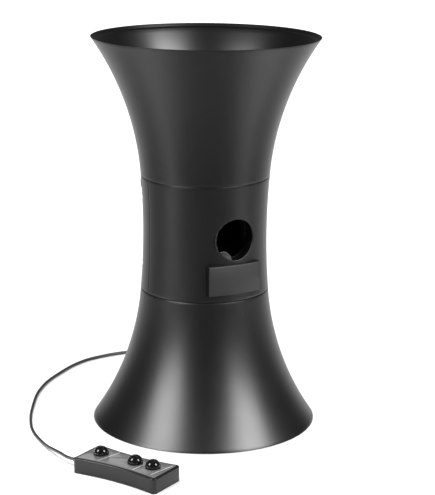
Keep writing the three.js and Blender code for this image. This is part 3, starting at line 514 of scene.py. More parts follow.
def printedPanel(name):
    # glossy grey sheet with a pale line beside each knob, drawn along and across the remote in millimetres
    s = panelSetup
    back = -remoteSetup["turn"]
    shift = Matrix.Rotation(back, 3, "Z") @ -Vector((*remoteSetup["place"], 0))
    finish = Finish(name, Specular_IOR_Level=0.62)
    place = finish.node("Mapping", {
        "Vector": finish.place(), "Location": shift, "Rotation": (0, 0, back), "Scale": (1000, 1000, 1000),
    })
    along, across = (finish.node("SeparateXYZ", {"Vector": place}, output=i) for i in (0, 1))
    marks = 0.0
    low, high = s["lineEnds"]
    for start, lean in s["lines"]:
        marks = (abs(along - start - across * lean) < s["lineWidth"] / 2) + marks
    marks = marks * (across > low) * (across < high)
    clouds = finish.noise(60, 4, 0.55)
    specks = finish.noise(1400, 2, 0.6)
    shade = finish.blend(clouds, grey(s["shade"] * 0.93), grey(s["shade"] * 1.07))
    finish.varying("Base Color", finish.blend(marks, shade, grey(s["print"])))
    finish.varying("Roughness", 0.1 + clouds * 0.04 + specks * 0.02 + marks * 0.3)
    finish.bump(specks * 0.03 + marks * 0.02, 0.3, 0.3 * mm)
    return finish.material


panelFinish = printedPanel("grey_panel")


def metal(name, color, rough):
    finish = Finish(name, Metallic=1)
    streaks = finish.noise(420, 4, 0.6)
    dark = [part * 0.82 for part in color]
    finish.varying("Base Color", finish.blend(streaks, (*dark, 1), (*color, 1)))
    finish.varying("Roughness", rough - 0.06 + streaks * 0.14)
    finish.bump(streaks, 0.15, 0.05 * mm)
    return finish.material


steelFinish = metal("zinc_plate", (0.62, 0.63, 0.65), 0.34)
contactFinish = metal("brass_contact", (0.78, 0.6, 0.28), 0.3)
print("finishes made")

cord.data.materials.append(cordFinish)


shells, remotePieces = [], []


def paintShade(piece, takesPaintedShade):
    # the chosen faces, such as those that look into a gap or into the outlet, get the near-black finish that
    # paints shade on them
    piece.data.materials.append(paintedShadeFinish)
    for face in piece.data.polygons:
        face.material_index = int(takesPaintedShade(face))


# the rounded faces at the lower seam, which take painted shade so that the seam shows as a dark line without a
# highlight
def inLowerSeam(face):
    return abs(face.center.z - lowerSeam) < 0.9 * mm and abs(face.normal.z) > 0.14


# The two flares: one trumpet, as foot and as hopper

flareSetup = {
    "height": 171, "arc": 345, "neck": 80, "slope": 0.075, "wall": 3, "spigotRadius": 75.9,
    "spigotWall": 2.5, "lipRadius": 133, "lipHeight": 2.4, "rimFace": 1.4, "rimBevel": (4, 5),
    "baseSpigot": 15.5, "hopperSpigot": 13.5, "spigotChamfer": (0.5, 1), "edgeRound": 0.5 * mm,
}


def flareRadius(fromSeam, offset=0):
    s = flareSetup
    centreRadius = s["neck"] + s["arc"] * sqrt(1 - s["slope"] ** 2)
    arc = s["arc"] + offset
    return centreRadius - sqrt(arc ** 2 - (fromSeam + s["slope"] * s["arc"]) ** 2)


def flareProfile(spigot, edge, edgeBottom):
    # (radius, distance from the seam) in millimetres, round the whole wall
    s = flareSetup
    floorTop = seamGap + s["wall"]
    outer = [(flareRadius(t), t) for t in evenly(seamGap, s["height"], 44)]
    inner = [(flareRadius(t, s["wall"]), t) for t in evenly(edgeBottom, floorTop, 30)]
    radius, (across, up) = s["spigotRadius"], s["spigotChamfer"]
    inside = radius - s["spigotWall"]
    return outer + edge + inner + [
        (inside, floorTop), (inside, -spigot), (radius - across, -spigot), (radius, up - spigot),
        (radius, seamGap),
    ]


def addFlare(name, profile, seam, sign, body, node):
    piece = turnedPiece(name, [(r, seam / mm + sign * t) for r, t in profile], steps=224)
    softenEdges(piece, flareSetup["edgeRound"])
    shells.append(finishPiece(piece, shellFinish, "shell", node, body=body))
    # painted shade on the rounding at the lower seam
    paintShade(piece, inLowerSeam)


def addFlares():
    s = flareSetup
    high, lip = s["height"], s["height"] - s["lipHeight"]
    upper, lower = s["rimBevel"]
    footEdge = [(s["lipRadius"], high), (s["lipRadius"], lip)]
    rimEdge = [(flareRadius(high) - s["rimFace"], high), (flareRadius(high, s["wall"]), high - upper)]
    foot = flareProfile(s["baseSpigot"], footEdge, lip)
    hopper = flareProfile(s["hopperSpigot"], rimEdge, high - lower)
    addFlare("foot_shell", foot, lowerSeam, -1, "root", "base_flare")
    addFlare("hopper_shell", hopper, upperSeam, 1, "hopper", "hopper_flare")


addFlares()
print("flares turned")


# The middle shell: a front half with the outlet and a rear half

housingSetup = {
    "waist": 77.1, "arc": 851, "wall": 2.5, "edgeRound": 0.45, "outlet": 25.5, "lip": 0.4,
    "lipSteps": 3, "tongueAt": (-17.5, -25), "tongueRadius": 12, "tongueBack": -72,
    "tongueSlope": (12, 0.6, 0.13), "outletReach": 28 * mm, "tongueReach": 16 * mm,
    "tunnel": (-73.5, -60), "tunnelWall": 2, "screwX": 69, "screwHeights": (200, 286),
    "screwSeat": 22.3, "boss": 6.5, "frontBoss": (-14, -0.15), "rearBoss": (0.15, 38),
    "headHole": 4.3 * mm, "shankHole": 2.2 * mm, "catches": (29.5, 150.5),
    "catchSection": [(78, 297), (79.6, 300.5), (80, 309), (79, 311.4), (78, 311.4)],
    "catchHalf": 7, "switchSlot": ((-5.5, 70, 197), (5.5, 90, 203)), "switchTurn": -50,
    "jackHole": 3.8 * mm,
}
outletCentre = Vector((axisX, axisY, outletHeight))


def fromAxis(x, y, z):
    # millimetres from the robot's axis
    return Vector((axisX + x * mm, axisY + y * mm, z * mm))


def housingRadius(z, offset=0):
    s = housingSetup
    arc = s["arc"] + offset
    return s["waist"] + s["arc"] - sqrt(arc ** 2 - (z - middleHeight / mm) ** 2)


def housingSolid(name, offset):
    low, high = lowerSeam / mm, upperSeam / mm
    wall = [(housingRadius(z, offset), z) for z in evenly(low, high, 24)]
    return turnedPiece(name, [(0, low)] + wall + [(0, high)], steps=160)


def halfShell(name, start):
    low, high = lowerSeam / mm + seamGap, upperSeam / mm - seamGap
    line = [(housingRadius(z), z) for z in evenly(low, high, 40)]
    away = seamHalf / (housingSetup["waist"] * mm)
    sheet = turnedPiece(name, line, steps=120, closed=False, angle=2 * away - pi, start=start + away)
    faceOutwards(sheet)
    return sheet


def faceOutwards(sheet):
    # an open sheet has no inside, so one face of its back edge settles which way all of them look
    tested = max(sheet.data.polygons, key=lambda face: abs(face.center.x - axisX))
    if tested.normal.xy.dot((tested.center - axisFoot).xy) < 0:
        editing(sheet)
        selectAll()
        bpy.ops.mesh.flip_normals()
        doneEditing()


def circlesMeet(radius, other, apart):
    # degrees from the line of centres to where two circles meet, seen from each centre
    chord = (radius ** 2 - other ** 2 + apart ** 2) / (2 * apart)
    return degrees(acos(chord / radius)), degrees(acos((apart - chord) / other))


def outletOutline():
    # the round hole less the round tongue that reaches into it, across and up from its centre
    s = housingSetup
    hole, tongue = s["outlet"] + s["lip"], s["tongueRadius"] - s["lip"]
    tongueX, tongueZ = s["tongueAt"]
    apart = hypot(tongueX, tongueZ)
    towards = degrees(atan2(tongueZ, tongueX))
    half, tongueHalf = circlesMeet(hole, tongue, apart)
    edge = arcPoints(0, 0, hole, towards + half, towards + 360 - half, 84)
    bite = arcPoints(tongueX, tongueZ, tongue, towards + 180 + tongueHalf, towards + 180 - tongueHalf, 22)
    return edge + bite[1:-1]


def outletDistances(point):
    # in millimetres, seen along the outlet: from its centre and from the tongue's
    x, z = (point.x - axisX) / mm, (point.z - outletHeight) / mm
    tongueX, tongueZ = housingSetup["tongueAt"]
    return hypot(x, z), hypot(x - tongueX, z - tongueZ)


def insideOutlet(point):
    s = housingSetup
    fromCentre, fromTongue = outletDistances(point)
    return point.y < axisY and fromCentre < s["outlet"] + s["lip"] and fromTongue > s["tongueRadius"] - s["lip"]


def nearOutlet(spot):
    return spot.y < axisY and (spot - outletCentre).xz.length < housingSetup["outletReach"]


def cutOutlet(sheet):
    front = axisY - 95 * mm
    outline = [(axisX + x * mm, front, outletHeight + z * mm) for x, z in outletOutline()]
    cutter = drawLine("outlet_cutter", outline, True)
    selectAll()
    extrude((0, 40 * mm, 0))
    doneEditing()
    sheet.data.materials.append(shellFinish)
    cutter.data.materials.append(innerFinish)
    joinWith(sheet, cutter)
    choose(sheet, "FACE", lambda face: face.material_index == 1)
    bpy.ops.mesh.intersect(separate_mode="NONE")
    doneEditing()
    choose(sheet, "FACE", lambda face: face.material_index == 1 or insideOutlet(face.center))
    bpy.ops.mesh.delete(type="FACE")
    doneEditing()
    slopeTongue(sheet)
    chooseRim(sheet, nearOutlet)
    roundOutletLip()
    settleFaces()
    faceOutwards(sheet)


def slopeTongue(sheet):
    # the tongue's face leans inwards from the outlet's circle: each step moves what lies further in
    s = housingSetup
    steps, apart, sink = s["tongueSlope"]

    def further(reach):
        def wanted(vertex):
            fromCentre, fromTongue = outletDistances(vertex.co)
            return vertex.co.y < axisY and fromTongue < s["tongueRadius"] + 0.3 and fromCentre < reach
        return wanted

    for i in range(steps):
        choose(sheet, "VERT", further(s["outlet"] - i * apart))
        bpy.ops.transform.translate(value=(0, sink * mm, 0))
        doneEditing()


def roundOutletLip():
    # the chosen rim goes round a small lip and straight back to the tongue's rear
    s = housingSetup
    hole = s["outlet"] + s["lip"]
    across, deep = 0, 0.0
    for i in range(1, s["lipSteps"] + 1):
        turn = pi / 2 * i / s["lipSteps"]
        nextAcross, nextDeep = s["lip"] * sin(turn), s["lip"] * (1 - cos(turn))
        share = (hole - nextAcross) / (hole - across)
        extrude((0, (nextDeep - deep) * mm, 0))
        bpy.ops.transform.resize(value=(share, 1, share), center_override=outletCentre)
        across, deep = nextAcross, nextDeep
    extrude((0, mm, 0))
    back = fromAxis(0, s["tongueBack"], outletHeight / mm)
    bpy.ops.transform.resize(value=(1, 0, 1), center_override=back)


def thicken(shell):
    # gives the sheet its wall and rounds its edges at the seams
    applyModifier(shell, "SOLIDIFY", thickness=housingSetup["wall"] * mm, use_quality_normals=True)

    def atSeam(a, b):
        level = abs(a.z - b.z) < hair and min(abs(a.z - lowerSeam), abs(a.z - upperSeam)) < 0.3 * mm
        upright = max(abs(a.y - axisY), abs(b.y - axisY)) < 0.3 * mm and abs(a.z - b.z) > 0.5 * mm
        along = level and (a - b).length < 3.2 * mm and abs(radiusOf(a) - radiusOf(b)) < 0.2 * mm
        return along or upright

    roundEdges(shell, housingSetup["edgeRound"] * mm, 2, atSeam)


def radiusOf(point):
    return hypot(point.x - axisX, point.y - axisY)


def screwPlaces():
    s = housingSetup
    return [(side * s["screwX"], z) for side in (-1, 1) for z in s["screwHeights"]]


def boss(x, z, near, far):
    piece = pin("boss", fromAxis(x, (near + far) / 2, z), housingSetup["boss"] * mm, (far - near) * mm, "Y", 40)
    addTo(piece, housingSolid("inside", 0.8), operation="INTERSECT")
    return piece


def addFrontShell():
    s = housingSetup
    shell = halfShell("front_shell", pi)
    tongue = fromAxis(s["tongueAt"][0], 0, outletHeight / mm + s["tongueAt"][1])
    reach = s["tongueReach"]
    choose(shell, "FACE", lambda face: face.center.y < axisY and (face.center - tongue).xz.length < reach)
    bpy.ops.mesh.subdivide(number_cuts=3)
    doneEditing()
    cutOutlet(shell)
    thicken(shell)
    inside, (start, end) = s["outlet"], s["tunnel"]
    outside = inside + s["tunnelWall"]
    ring = [(inside, start), (outside, start), (outside, end), (inside, end)]
    tunnel = turnedPiece("tunnel", ring, outletCentre, steps=96, around="Y")
    bosses = [boss(x, z, *s["frontBoss"]) for x, z in screwPlaces()]
    joinWith(shell, tunnel, *bosses)
    shells.append(finishPiece(shell, shellFinish, "shell", "front_housing"))
    # painted shade on the outlet's inner walls and on the rounding at the lower seam
    paintShade(shell, lambda face: nearOutlet(face.center) and abs(face.normal.y) < 0.6 or inLowerSeam(face))


def catchRib(angle):
    half = housingSetup["catchHalf"]
    outline = [fromAxis(r, -half, z) for r, z in housingSetup["catchSection"]]
    rib = raisedPiece("catch", outline, (0, 2 * half * mm, 0))
    softenEdges(rib, 0.5 * mm, limit=20)
    return turnPiece(rib, angle)


def addRearShell():
    s = housingSetup
    shell = halfShell("rear_shell", 0)
    thicken(shell)
    switchSlot = block("slot", *[fromAxis(*corner) for corner in s["switchSlot"]])
    softenEdges(switchSlot, 0.8 * mm, segments=3)
    cutAway(shell, turnPiece(switchSlot, s["switchTurn"]))
    cutAway(shell, pin("jack_hole", fromAxis(0, 75, 200), s["jackHole"], 30 * mm, "Y"))
    addTo(shell, *[boss(x, z, *s["rearBoss"]) for x, z in screwPlaces()])
    for x, z in screwPlaces():
        cutAway(shell, pin("head_hole", fromAxis(x, s["screwSeat"] + 18.7, z), s["headHole"], 38 * mm, "Y"))
        cutAway(shell, pin("shank_hole", fromAxis(x, 15, z), s["shankHole"], 34 * mm, "Y", 24))
    joinWith(shell, *[catchRib(angle) for angle in s["catches"]])
    shells.append(finishPiece(shell, shellFinish, "shell", "rear_housing"))
    # painted shade on the rounding at the lower seam
    paintShade(shell, inLowerSeam)


addFrontShell()
addRearShell()
print("middle shell cut and rounded")


# The plate under the outlet

plateSetup = {
    "left": -37.3, "right": 35.3, "low": 180, "high": 216.3, "face": -80.5, "back": -57,
    "bend": 165, "corner": 0.8, "edge": 0.45,
}


def addLabelPlate():
    left, right, low, high, face, back, bend, corner, edge = plateSetup.values()
    middle, half = (left + right) / 2, (right - left) / 2
    centre = fromAxis(middle, face + bend, 0)
    swing = degrees(asin(half / bend))
    front = arcPoints(middle, face + bend, bend, 270 - swing, 270 + swing, 24)
    outline = [fromAxis(x, y, low) for x, y in front + [(right, back), (left, back)]]
    plate = raisedPiece("plate", outline, (0, 0, (high - low) * mm))
    roundEdges(plate, corner * mm, 4, lambda a, b: abs(a.y - b.y) > mm)

    def atRim(a, b):
        onFace = max(abs((point - centre).xy.length - bend * mm) for point in (a, b)) < 0.05 * mm
        atEnd = min(abs(abs(point.x - centre.x) - half * mm) for point in (a, b)) < 0.9 * mm
        return onFace and (atEnd or abs(a.z - b.z) < hair)

    roundEdges(plate, edge * mm, 3, atRim)
    cutAway(plate, housingSolid("cutter", -0.3))
    shells.append(finishPiece(plate, plateFinish, "plate", "label_plate"))
    # painted shade on the plate's sides
    paintShade(plate, lambda side: abs(side.normal.x) > 0.35)


addLabelPlate()
print("label plate added")


# The remote control

def remoteOutline(inset, height):
    # points round the waisted outline, in metres in the row frame
    s = remoteSetup
    x, y = s["length"] / 2 - inset, s["width"] / 2 - inset
    r = max(s["corner"] - inset, 1.5)

    def side(turn):
        return [(-turn * t * (x - r), turn * (y - s["waist"] * (1 - t * t))) for t in evenly(-1, 1, 20)[1:-1]]

    lowerRight, upperRight, upperLeft, lowerLeft = cornerArcs(x, -y, y, r, 7)
    points = lowerRight + upperRight + side(1) + upperLeft + lowerLeft + side(-1)
    return [remotePoint(along, across + s["sideways"], height) for along, across in points]


def stemHole(along):
    return pin("stem_hole", remotePoint(along, 0, remoteSetup["height"] - 1), 4 * mm, 8 * mm)


def addRemoteShell():
    s = remoteSetup
    top = s["height"] * mm
    shell = raisedPiece("remote_shell", remoteOutline(0, s["skirt"]), (0, 0, (s["height"] - s["skirt"]) * mm))
    roundEdges(shell, s["edge"] * mm, 5, lambda a, b: min(a.z, b.z) > top - hair)
    choose(shell, "FACE", lambda face: face.normal.z > 0.99 and face.center.z > top - hair)
    bpy.ops.mesh.inset(thickness=(s["recess"] - s["edge"] - s["panelEdge"]) * mm)
    bpy.ops.mesh.inset(thickness=s["panelEdge"] * mm, depth=-s["panelEdge"] * mm)
    extrude((0, 0, -s["panelThick"] * mm))
    doneEditing()
    choose(shell, "FACE", lambda face: face.normal.z < -0.99 and face.center.z < mm)
    bpy.ops.mesh.inset(thickness=s["wall"] * mm)
    extrude((0, 0, (s["ceiling"] - s["skirt"]) * mm))
    doneEditing()
    cutAway(shell, *[stemHole(along) for along in s["knobs"].values()])
    remotePieces.append(finishPiece(shell, remoteFinish, "shell", "remote_top", smooth=40))


def addRemotePanel():
    s = remoteSetup
    thick = s["panelThick"]
    panel = raisedPiece("remote_panel_face", remoteOutline(s["panel"], s["height"] - thick), (0, 0, thick * mm))
    roundEdges(panel, 0.15 * mm, 2, lambda a, b: min(a.z, b.z) > s["height"] * mm - hair)
    cutAway(panel, *[stemHole(along) for along in s["knobs"].values()])
    remotePieces.append(finishPiece(panel, panelFinish, "panel", "remote_panel"))


knobSetup = {
    "radius": 9.1, "height": 9.9, "lift": 0.3, "stem": 3, "stemDeep": 9, "foot": (0.5, 0.4),
    "apart": 36, "fluteTop": 2.6, "fluteInside": 6 * mm,
    "flutes": ((5.5, 0.975), (3.2, 0.97), (1.2, 0.985)),
}


def knobAt(name, centre):
    # a dome over a fluted skirt, with its stem
    s = knobSetup
    radius, skirt = s["radius"], s["height"] - s["radius"]
    across, up = s["foot"]
    foot = [(0, -s["stemDeep"]), (s["stem"], -s["stemDeep"]), (s["stem"], 0), (radius - across, 0)]
    wall = [(radius, z) for z in evenly(up, skirt, 3)[:-1]]
    dome = arcPoints(0, skirt, radius, 0, 90, 18)[:-1] + [(0, s["height"])]
    knob = turnedPiece(name, foot + wall + dome, centre, steps=160)
    cutHigh = centre.z + (skirt + s["fluteTop"]) * mm

    def grooved(reach):
        def wanted(vertex):
            x, y = (vertex.co - centre).xy
            turn = degrees(atan2(y, x)) % s["apart"]
            beside = min(turn, s["apart"] - turn) < reach
            return beside and hypot(x, y) > s["fluteInside"] and vertex.co.z < cutHigh
        return wanted

    for reach, share in s["flutes"]:
        choose(knob, "VERT", grooved(reach))
        bpy.ops.transform.resize(value=(share, share, 1), center_override=centre)
        doneEditing()
    return knob


def addKnobs():
    bodies = "feed_dial", "top_speed_dial", "bottom_speed_dial"
    foot = remoteSetup["height"] + knobSetup["lift"]
    places = [remotePoint(along, 0, foot) for along in remoteSetup["knobs"].values()]
    knob = knobAt("knob", places[0])
    for node, body, place in zip(remoteSetup["knobs"], bodies, places):
        dial = copyPiece(knob, f"dial_{body}", place - places[0])
        remotePieces.append(finishPiece(dial, knobFinish, "knob", node, body=body, smooth=50))
    bpy.data.objects.remove(knob)


def turnedAlong(name, profile, centre, direction, steps=48):
    # a profile turned about the local X axis, then swung to the direction on the floor
    piece = turnedPiece(name, profile, centre, steps=steps, around="X")
    return turnPiece(piece, direction, centre)


def remoteScrewPlaces(height):
    ways, sides = remoteSetup["screws"]
    return [remotePoint(along, across, height) for along in ways for across in sides]


def remoteScrewHoles(radius, top):
    places = remoteScrewPlaces((top - 1) / 2)
    return [pin("hole", place, radius * mm, (top + 1) * mm, sides=32) for place in places]


def addRemoteBase():
    s = remoteSetup
    base = raisedPiece("remote_underside", remoteOutline(s["baseInset"], 0), (0, 0, s["baseThick"] * mm))
    roundEdges(base, 0.4 * mm, 2, lambda a, b: max(a.z, b.z) < hair)
    pillars = [pin("pillar", place, s["pillar"], s["pillar"]) for place in remoteScrewPlaces(3.1)]
    rests = [pin("rest", remotePoint(along, 0, 3.1), 3 * mm, s["pillar"]) for along in (-38, 38)]
    addTo(base, *pillars, *rests)
    cutAway(base, *remoteScrewHoles(3.1, 2.4), *remoteScrewHoles(1.7, 6.2))
    finishPiece(base, remoteFinish, "shell", "remote_base")


def addStrainRelief():
    s = remoteSetup
    profile = [
        (0, -4), (2.2, -4), (2.2, 0.3), (4, 0.3), (4.2, 0.6), (4.2, 2.4), (3.9, 3.1), (3.3, 8),
        (2.7, s["boot"] - 0.4), (2.45, s["boot"]), (0, s["boot"]),
    ]
    end = remotePoint(-s["length"] / 2, *s["cordEntry"])
    boot = turnedAlong("strain_relief", profile, end, 180 + degrees(s["turn"]))
    return finishPiece(boot, cordFinish, "cord", "remote_boot")


def addPlug():
    profile = [
        (0, 64), (2.7, 64), (2.7, 79), (5.2, 79.2), (5.6, 79.6), (5.8, 82), (5.6, 93), (4.6, 94.5), (3.9, 95),
        (3.1, 107.4), (2.6, 108), (0, 108),
    ]
    plug = turnedPiece("cord_plug", profile, fromAxis(0, 0, 200), steps=48, around="Y")
    return finishPiece(plug, cordFinish, "cord", "remote_plug")


tieSetup = {
    "beside": 1.6, "low": 0.2, "above": 1.2, "corner": 4, "half": 4, "thick": 0.8, "claspWide": 3.5,
    "claspHalf": 4.6, "claspHigh": (-0.2, 0.9), "turn": 205,
}


def addCoilTie():
    # a flat strap round the coil's side, with a small clasp on its outer face
    s, t = cordSetup, tieSetup
    middle, halfWide = (s["outer"] + s["inner"]) / 2, (s["outer"] - s["inner"]) / 2 + s["radius"] + t["beside"]
    low, high = t["low"], s["bottom"] + s["rise"] * (s["layers"] - 1) + s["radius"] + t["above"]
    x, y = s["coilCentre"]

    def loop(name, inset, halfDeep):
        corners = cornerArcs(halfWide - inset, low + inset, high - inset, t["corner"] - inset, 8)
        points = [
            fromAxis(x + middle + across, y - halfDeep, up) for corner in corners for across, up in corner
        ]
        return raisedPiece(name, points, (0, 2 * halfDeep * mm, 0))

    strap = loop("coil_strap", 0, t["half"])
    softenEdges(strap, 0.25 * mm)
    cutAway(strap, loop("inside", t["thick"], t["half"] + 2))
    top, (under, over) = fromAxis(x + middle, y, high), t["claspHigh"]
    wide, half = t["claspWide"], t["claspHalf"]
    low, high = (-wide, -half, under), (wide, half, over)
    clasp = block("clasp", *[top + Vector(corner) * mm for corner in (low, high)])
    softenEdges(clasp, 0.35 * mm)
    joinWith(strap, clasp)
    turnPiece(strap, t["turn"], fromAxis(x, y, 0))
    return finishPiece(strap, tieFinish, "tie", "coil_tie")


addRemoteShell()
addRemoteBase()
addRemotePanel()
addKnobs()
addStrainRelief()
addPlug()
addCoilTie()
print("remote control added")


# Screws: one of each size, copied to its places

screwSetup = {
    "housing": {"head": 3.5, "height": 2.4, "shank": 1.6, "reach": 33},
    "remote": {"head": 2.6, "height": 1.6, "shank": 1.2, "reach": 8.4},
}


def screwAt(size, centre, around, outwards):
    # a rounded head with a cross recess, outwards along the axis
    head, high, shank, reach = screwSetup[size].values()
    profile = [
        (0, -reach), (shank * 0.6, -reach), (shank, -reach + 1.5), (shank, 0), (head, 0), (head, high * 0.4),
        (head * 0.9, high * 0.75), (head * 0.68, high), (0, high),
    ]
    screw = turnedPiece(size, [(r, outwards * h) for r, h in profile], centre, steps=40, around=around)
    slot, half, deep = head * 0.62, head * 0.11, high * 0.45
    for wide, tall in ((slot, half), (half, slot)):
        near, far = sorted((outwards * deep, outwards * (high + 1)))
        ends = Vector((-wide, -tall, near)), Vector((wide, tall, far))
        cutAway(screw, block("cross", *[centre + (end.xzy if around == "Y" else end) * mm for end in ends]))
    return screw


def addScrews(size, centres, around, outwards):
    first = screwAt(size, centres[0], around, outwards)
    for i, centre in enumerate(centres):
        screw = copyPiece(first, f"{size}_screw_head_{i + 1}", centre - centres[0])
        finishPiece(screw, steelFinish, "steel", f"{size}_screw_{i + 1}")
    bpy.data.objects.remove(first)


addScrews("housing", [fromAxis(x, housingSetup["screwSeat"], z) for x, z in screwPlaces()], "Y", 1)
addScrews("remote", remoteScrewPlaces(2.1), "Z", -1)
print("screws added")


# The star wheel that feeds, and the two throw wheels

feedSetup = {
    "radius": 62, "pocket": 22.5, "pocketAt": 43, "low": 305.6, "high": 323.6, "dome": (17, 14),
    "fin": [(8, -2), (46, -2), (45, 0.6), (40, 5), (31, 8.6), (22, 11), (8, 13)],
    "edge": 1.3 * mm,
}


def starOutline(height):
    s = feedSetup
    radius, pocket, away = s["radius"], s["pocket"], s["pocketAt"]
    mouth, half = circlesMeet(radius, pocket, away)
    points = []
    for start in (0, 90, 180, 270):
        end = start + 90
        x, y = away * cos(radians(end)), away * sin(radians(end))
        points += arcPoints(0, 0, radius, start + mouth, end - mouth, 12)
        points += arcPoints(x, y, pocket, end - 180 + half, end - 180 - half, 36)[1:-1]
    return [fromAxis(x, y, height) for x, y in points]


def addFeedWheel():
    s = feedSetup
    lift = (s["high"] - s["low"]) * mm
    star = raisedPiece("feed_star", starOutline(s["low"]), (0, 0, lift))
    softenEdges(star, s["edge"], limit=50, segments=4)
    wide, tall = s["dome"]
    crown = [(wide * cos(t), s["high"] + tall * sin(t)) for t in evenly(0, pi / 2, 16)[:-1]]
    crown = [(0, s["high"] - 2), (wide, s["high"] - 2)] + crown + [(0, s["high"] + tall)]
    dome = turnedPiece("dome", crown, steps=80)
    blades = []
    for turn in (45, 135, 225, 315):
        blade = raisedPiece("blade", [fromAxis(r, -2, s["high"] + z) for r, z in s["fin"]], (0, 4 * mm, 0))
        softenEdges(blade, 1.2 * mm, limit=40, segments=3)
        blades.append(turnPiece(blade, turn))
    addTo(star, dome, *blades)
    cutAway(star, pin("bore", fromAxis(0, 0, 316), 3.6 * mm, 24 * mm))
    finishPiece(star, feedFinish, "feed", "feed_rotor", body="feed_wheel")


throwSetup = {
    "across": -32, "rise": 34.5, "radius": 16, "half": 9, "bore": 12.8, "rim": 12.3, "axle": 28.7,
}


def addThrowWheels():
    across, rise, radius, half, bore, rim, axle = throwSetup.values()
    hollow = [(radius - 1 + (x / 7.8) ** 2, x) for x in evenly(-7.8, 7.8, 10)]
    tyre = [(bore, -half), (radius - 0.6, -half), (radius - 0.1, -half + 0.4)] + hollow
    tyre += [(radius - 0.1, half - 0.4), (radius - 0.6, half), (bore, half)]
    side = [(0, -axle), (2.2, -axle), (2.5, -axle + 0.4), (2.5, -half), (5, -half), (5, -2.4)]
    side += [(rim - 2, -2), (rim - 1.8, -half), (rim, -half)]
    hub = side + [(r, -x) for r, x in reversed(side)]
    kinds = ("tyre", tyre, rubberFinish, "tyre"), ("hub", hub, innerFinish, "inner")
    for name, sign in (("upper", 1), ("lower", -1)):
        centre = fromAxis(0, across, outletHeight / mm + sign * rise)
        for kind, profile, finish, slot in kinds:
            piece = turnedPiece(f"{name}_throw_{kind}", profile, centre, steps=96, around="X")
            finishPiece(piece, finish, slot, f"{name}_wheel_{kind}", body=f"{name}_wheel")


addFeedWheel()
addThrowWheels()
print("feed wheel and throw wheels added")


# The battery case in the hollow foot, and the power switch

caseSetup = {
    "inside": 58.6, "outside": 61.1, "low": 108, "high": 124, "floor": 111, "gripHalf": 40,
    "gripEnd": 6, "gripHigh": 8, "gripEdge": 1.6 * mm, "rib": 1.8 * mm, "ribHigh": 13 * mm, "ribs": 8,
    "switchThumb": ((-5, 69, 197.7), (1, 80.4, 202.3)), "thumbRim": 0.9 * mm, "thumbDip": 0.6 * mm,
}


def addBatteryDoor():
    s = caseSetup
    outside, inside = s["outside"], s["inside"]
    profile = [
        (0, s["low"]), (outside - 1.6, s["low"]), (outside - 0.5, s["low"] + 0.5), (outside, s["low"] + 1.6),
        (outside, s["high"] - 0.5), (outside - 0.5, s["high"]), (inside, s["high"]), (inside, s["floor"]),
        (0, s["floor"]),
    ]
    door = turnedPiece("battery_lid", profile, steps=144)
    half, end, high = s["gripHalf"], s["gripEnd"], s["gripHigh"]
    outline = arcPoints(half, 0, end, -90, 90, 16) + arcPoints(-half, 0, end, 90, 270, 16)
    grip = raisedPiece("grip", [fromAxis(x, y, s["low"] - high) for x, y in outline], (0, 0, (high + 1) * mm))
    roundEdges(grip, s["gripEdge"], 4, lambda a, b: max(a.z, b.z) < (s["low"] - high + 0.1) * mm)
    rib = pin("rib", fromAxis(outside - 0.2, 0, 115), s["rib"], s["ribHigh"], sides=24)
    softenEdges(rib, 0.6 * mm)
    copies = [copyPiece(rib, "rib_copy", (0, 0, 0)) for _ in range(s["ribs"])]
    ribs = [turnPiece(copied, 360 / s["ribs"] * i) for i, copied in enumerate(copies)]
    bpy.data.objects.remove(rib)
    addTo(door, grip, *ribs)
    finishPiece(door, innerFinish, "inner", "battery_door", body="door")


def addBatteryCup():
    profile = [
        (0, 183.5), (9.5, 183.5), (9.5, 114), (12, 114), (12, 183.5), (55.5, 183.5), (55.5, 112.4),
        (55.9, 112), (57.1, 112), (57.5, 112.4), (57.5, 183.5), (72.5, 183.5), (72.5, 186.5), (0, 186.5),
    ]
    cup = turnedPiece("battery_well", profile, steps=144)
    finishPiece(cup, innerFinish, "inner", "battery_cup")


def addSwitch():
    s = caseSetup
    slider = block("switch_thumb", *[fromAxis(*corner) for corner in s["switchThumb"]])
    softenEdges(slider, 0.4 * mm)
    choose(slider, "FACE", lambda face: face.normal.y > 0.99 and face.area > 6 * mm * mm)
    bpy.ops.mesh.inset(thickness=s["thumbRim"])
    extrude((0, -s["thumbDip"], 0))
    doneEditing()
    turnPiece(slider, housingSetup["switchTurn"])
    finishPiece(slider, knobFinish, "knob", "power_switch_slider", body="power_switch")


addBatteryDoor()
addBatteryCup()
addSwitch()
print("battery case and switch added")


# The inner pieces keep their CAD shape and get their finish

innerPieces = {
    innerFinish: "feed_floor feed_gearbox feed_chute throw_frame lower_deck remote_jack power_switch_body "
    "feed_potentiometer speed_potentiometer_top speed_potentiometer_bottom",
    steelFinish: "feed_shaft feed_motor upper_wheel_motor lower_wheel_motor",
    contactFinish: "upper_contact_plate lower_contact_plate",
    cellFinish: " ".join(f"battery_cell_{i}" for i in range(1, 7)),
    boardFinish: "control_board remote_board",
}
for finish, names in innerPieces.items():
    for name in names.split():
        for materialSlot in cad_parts[name].material_slots:
            materialSlot.link = "OBJECT"
            materialSlot.material = finish
print("inner pieces finished")


# Floor and light

def addFloor():
    floor = newPiece("floor", bpy.ops.mesh.primitive_plane_add, size=60)
    finish = Finish("pale_floor", Roughness=0.9, Specular_IOR_Level=0.1)
    tint = finish.noise(0.8, 2, 0.5)
    finish.varying("Base Color", finish.blend(tint, grey(0.88), grey(0.9)))
    floor.data.materials.append(finish.material)
    return floor


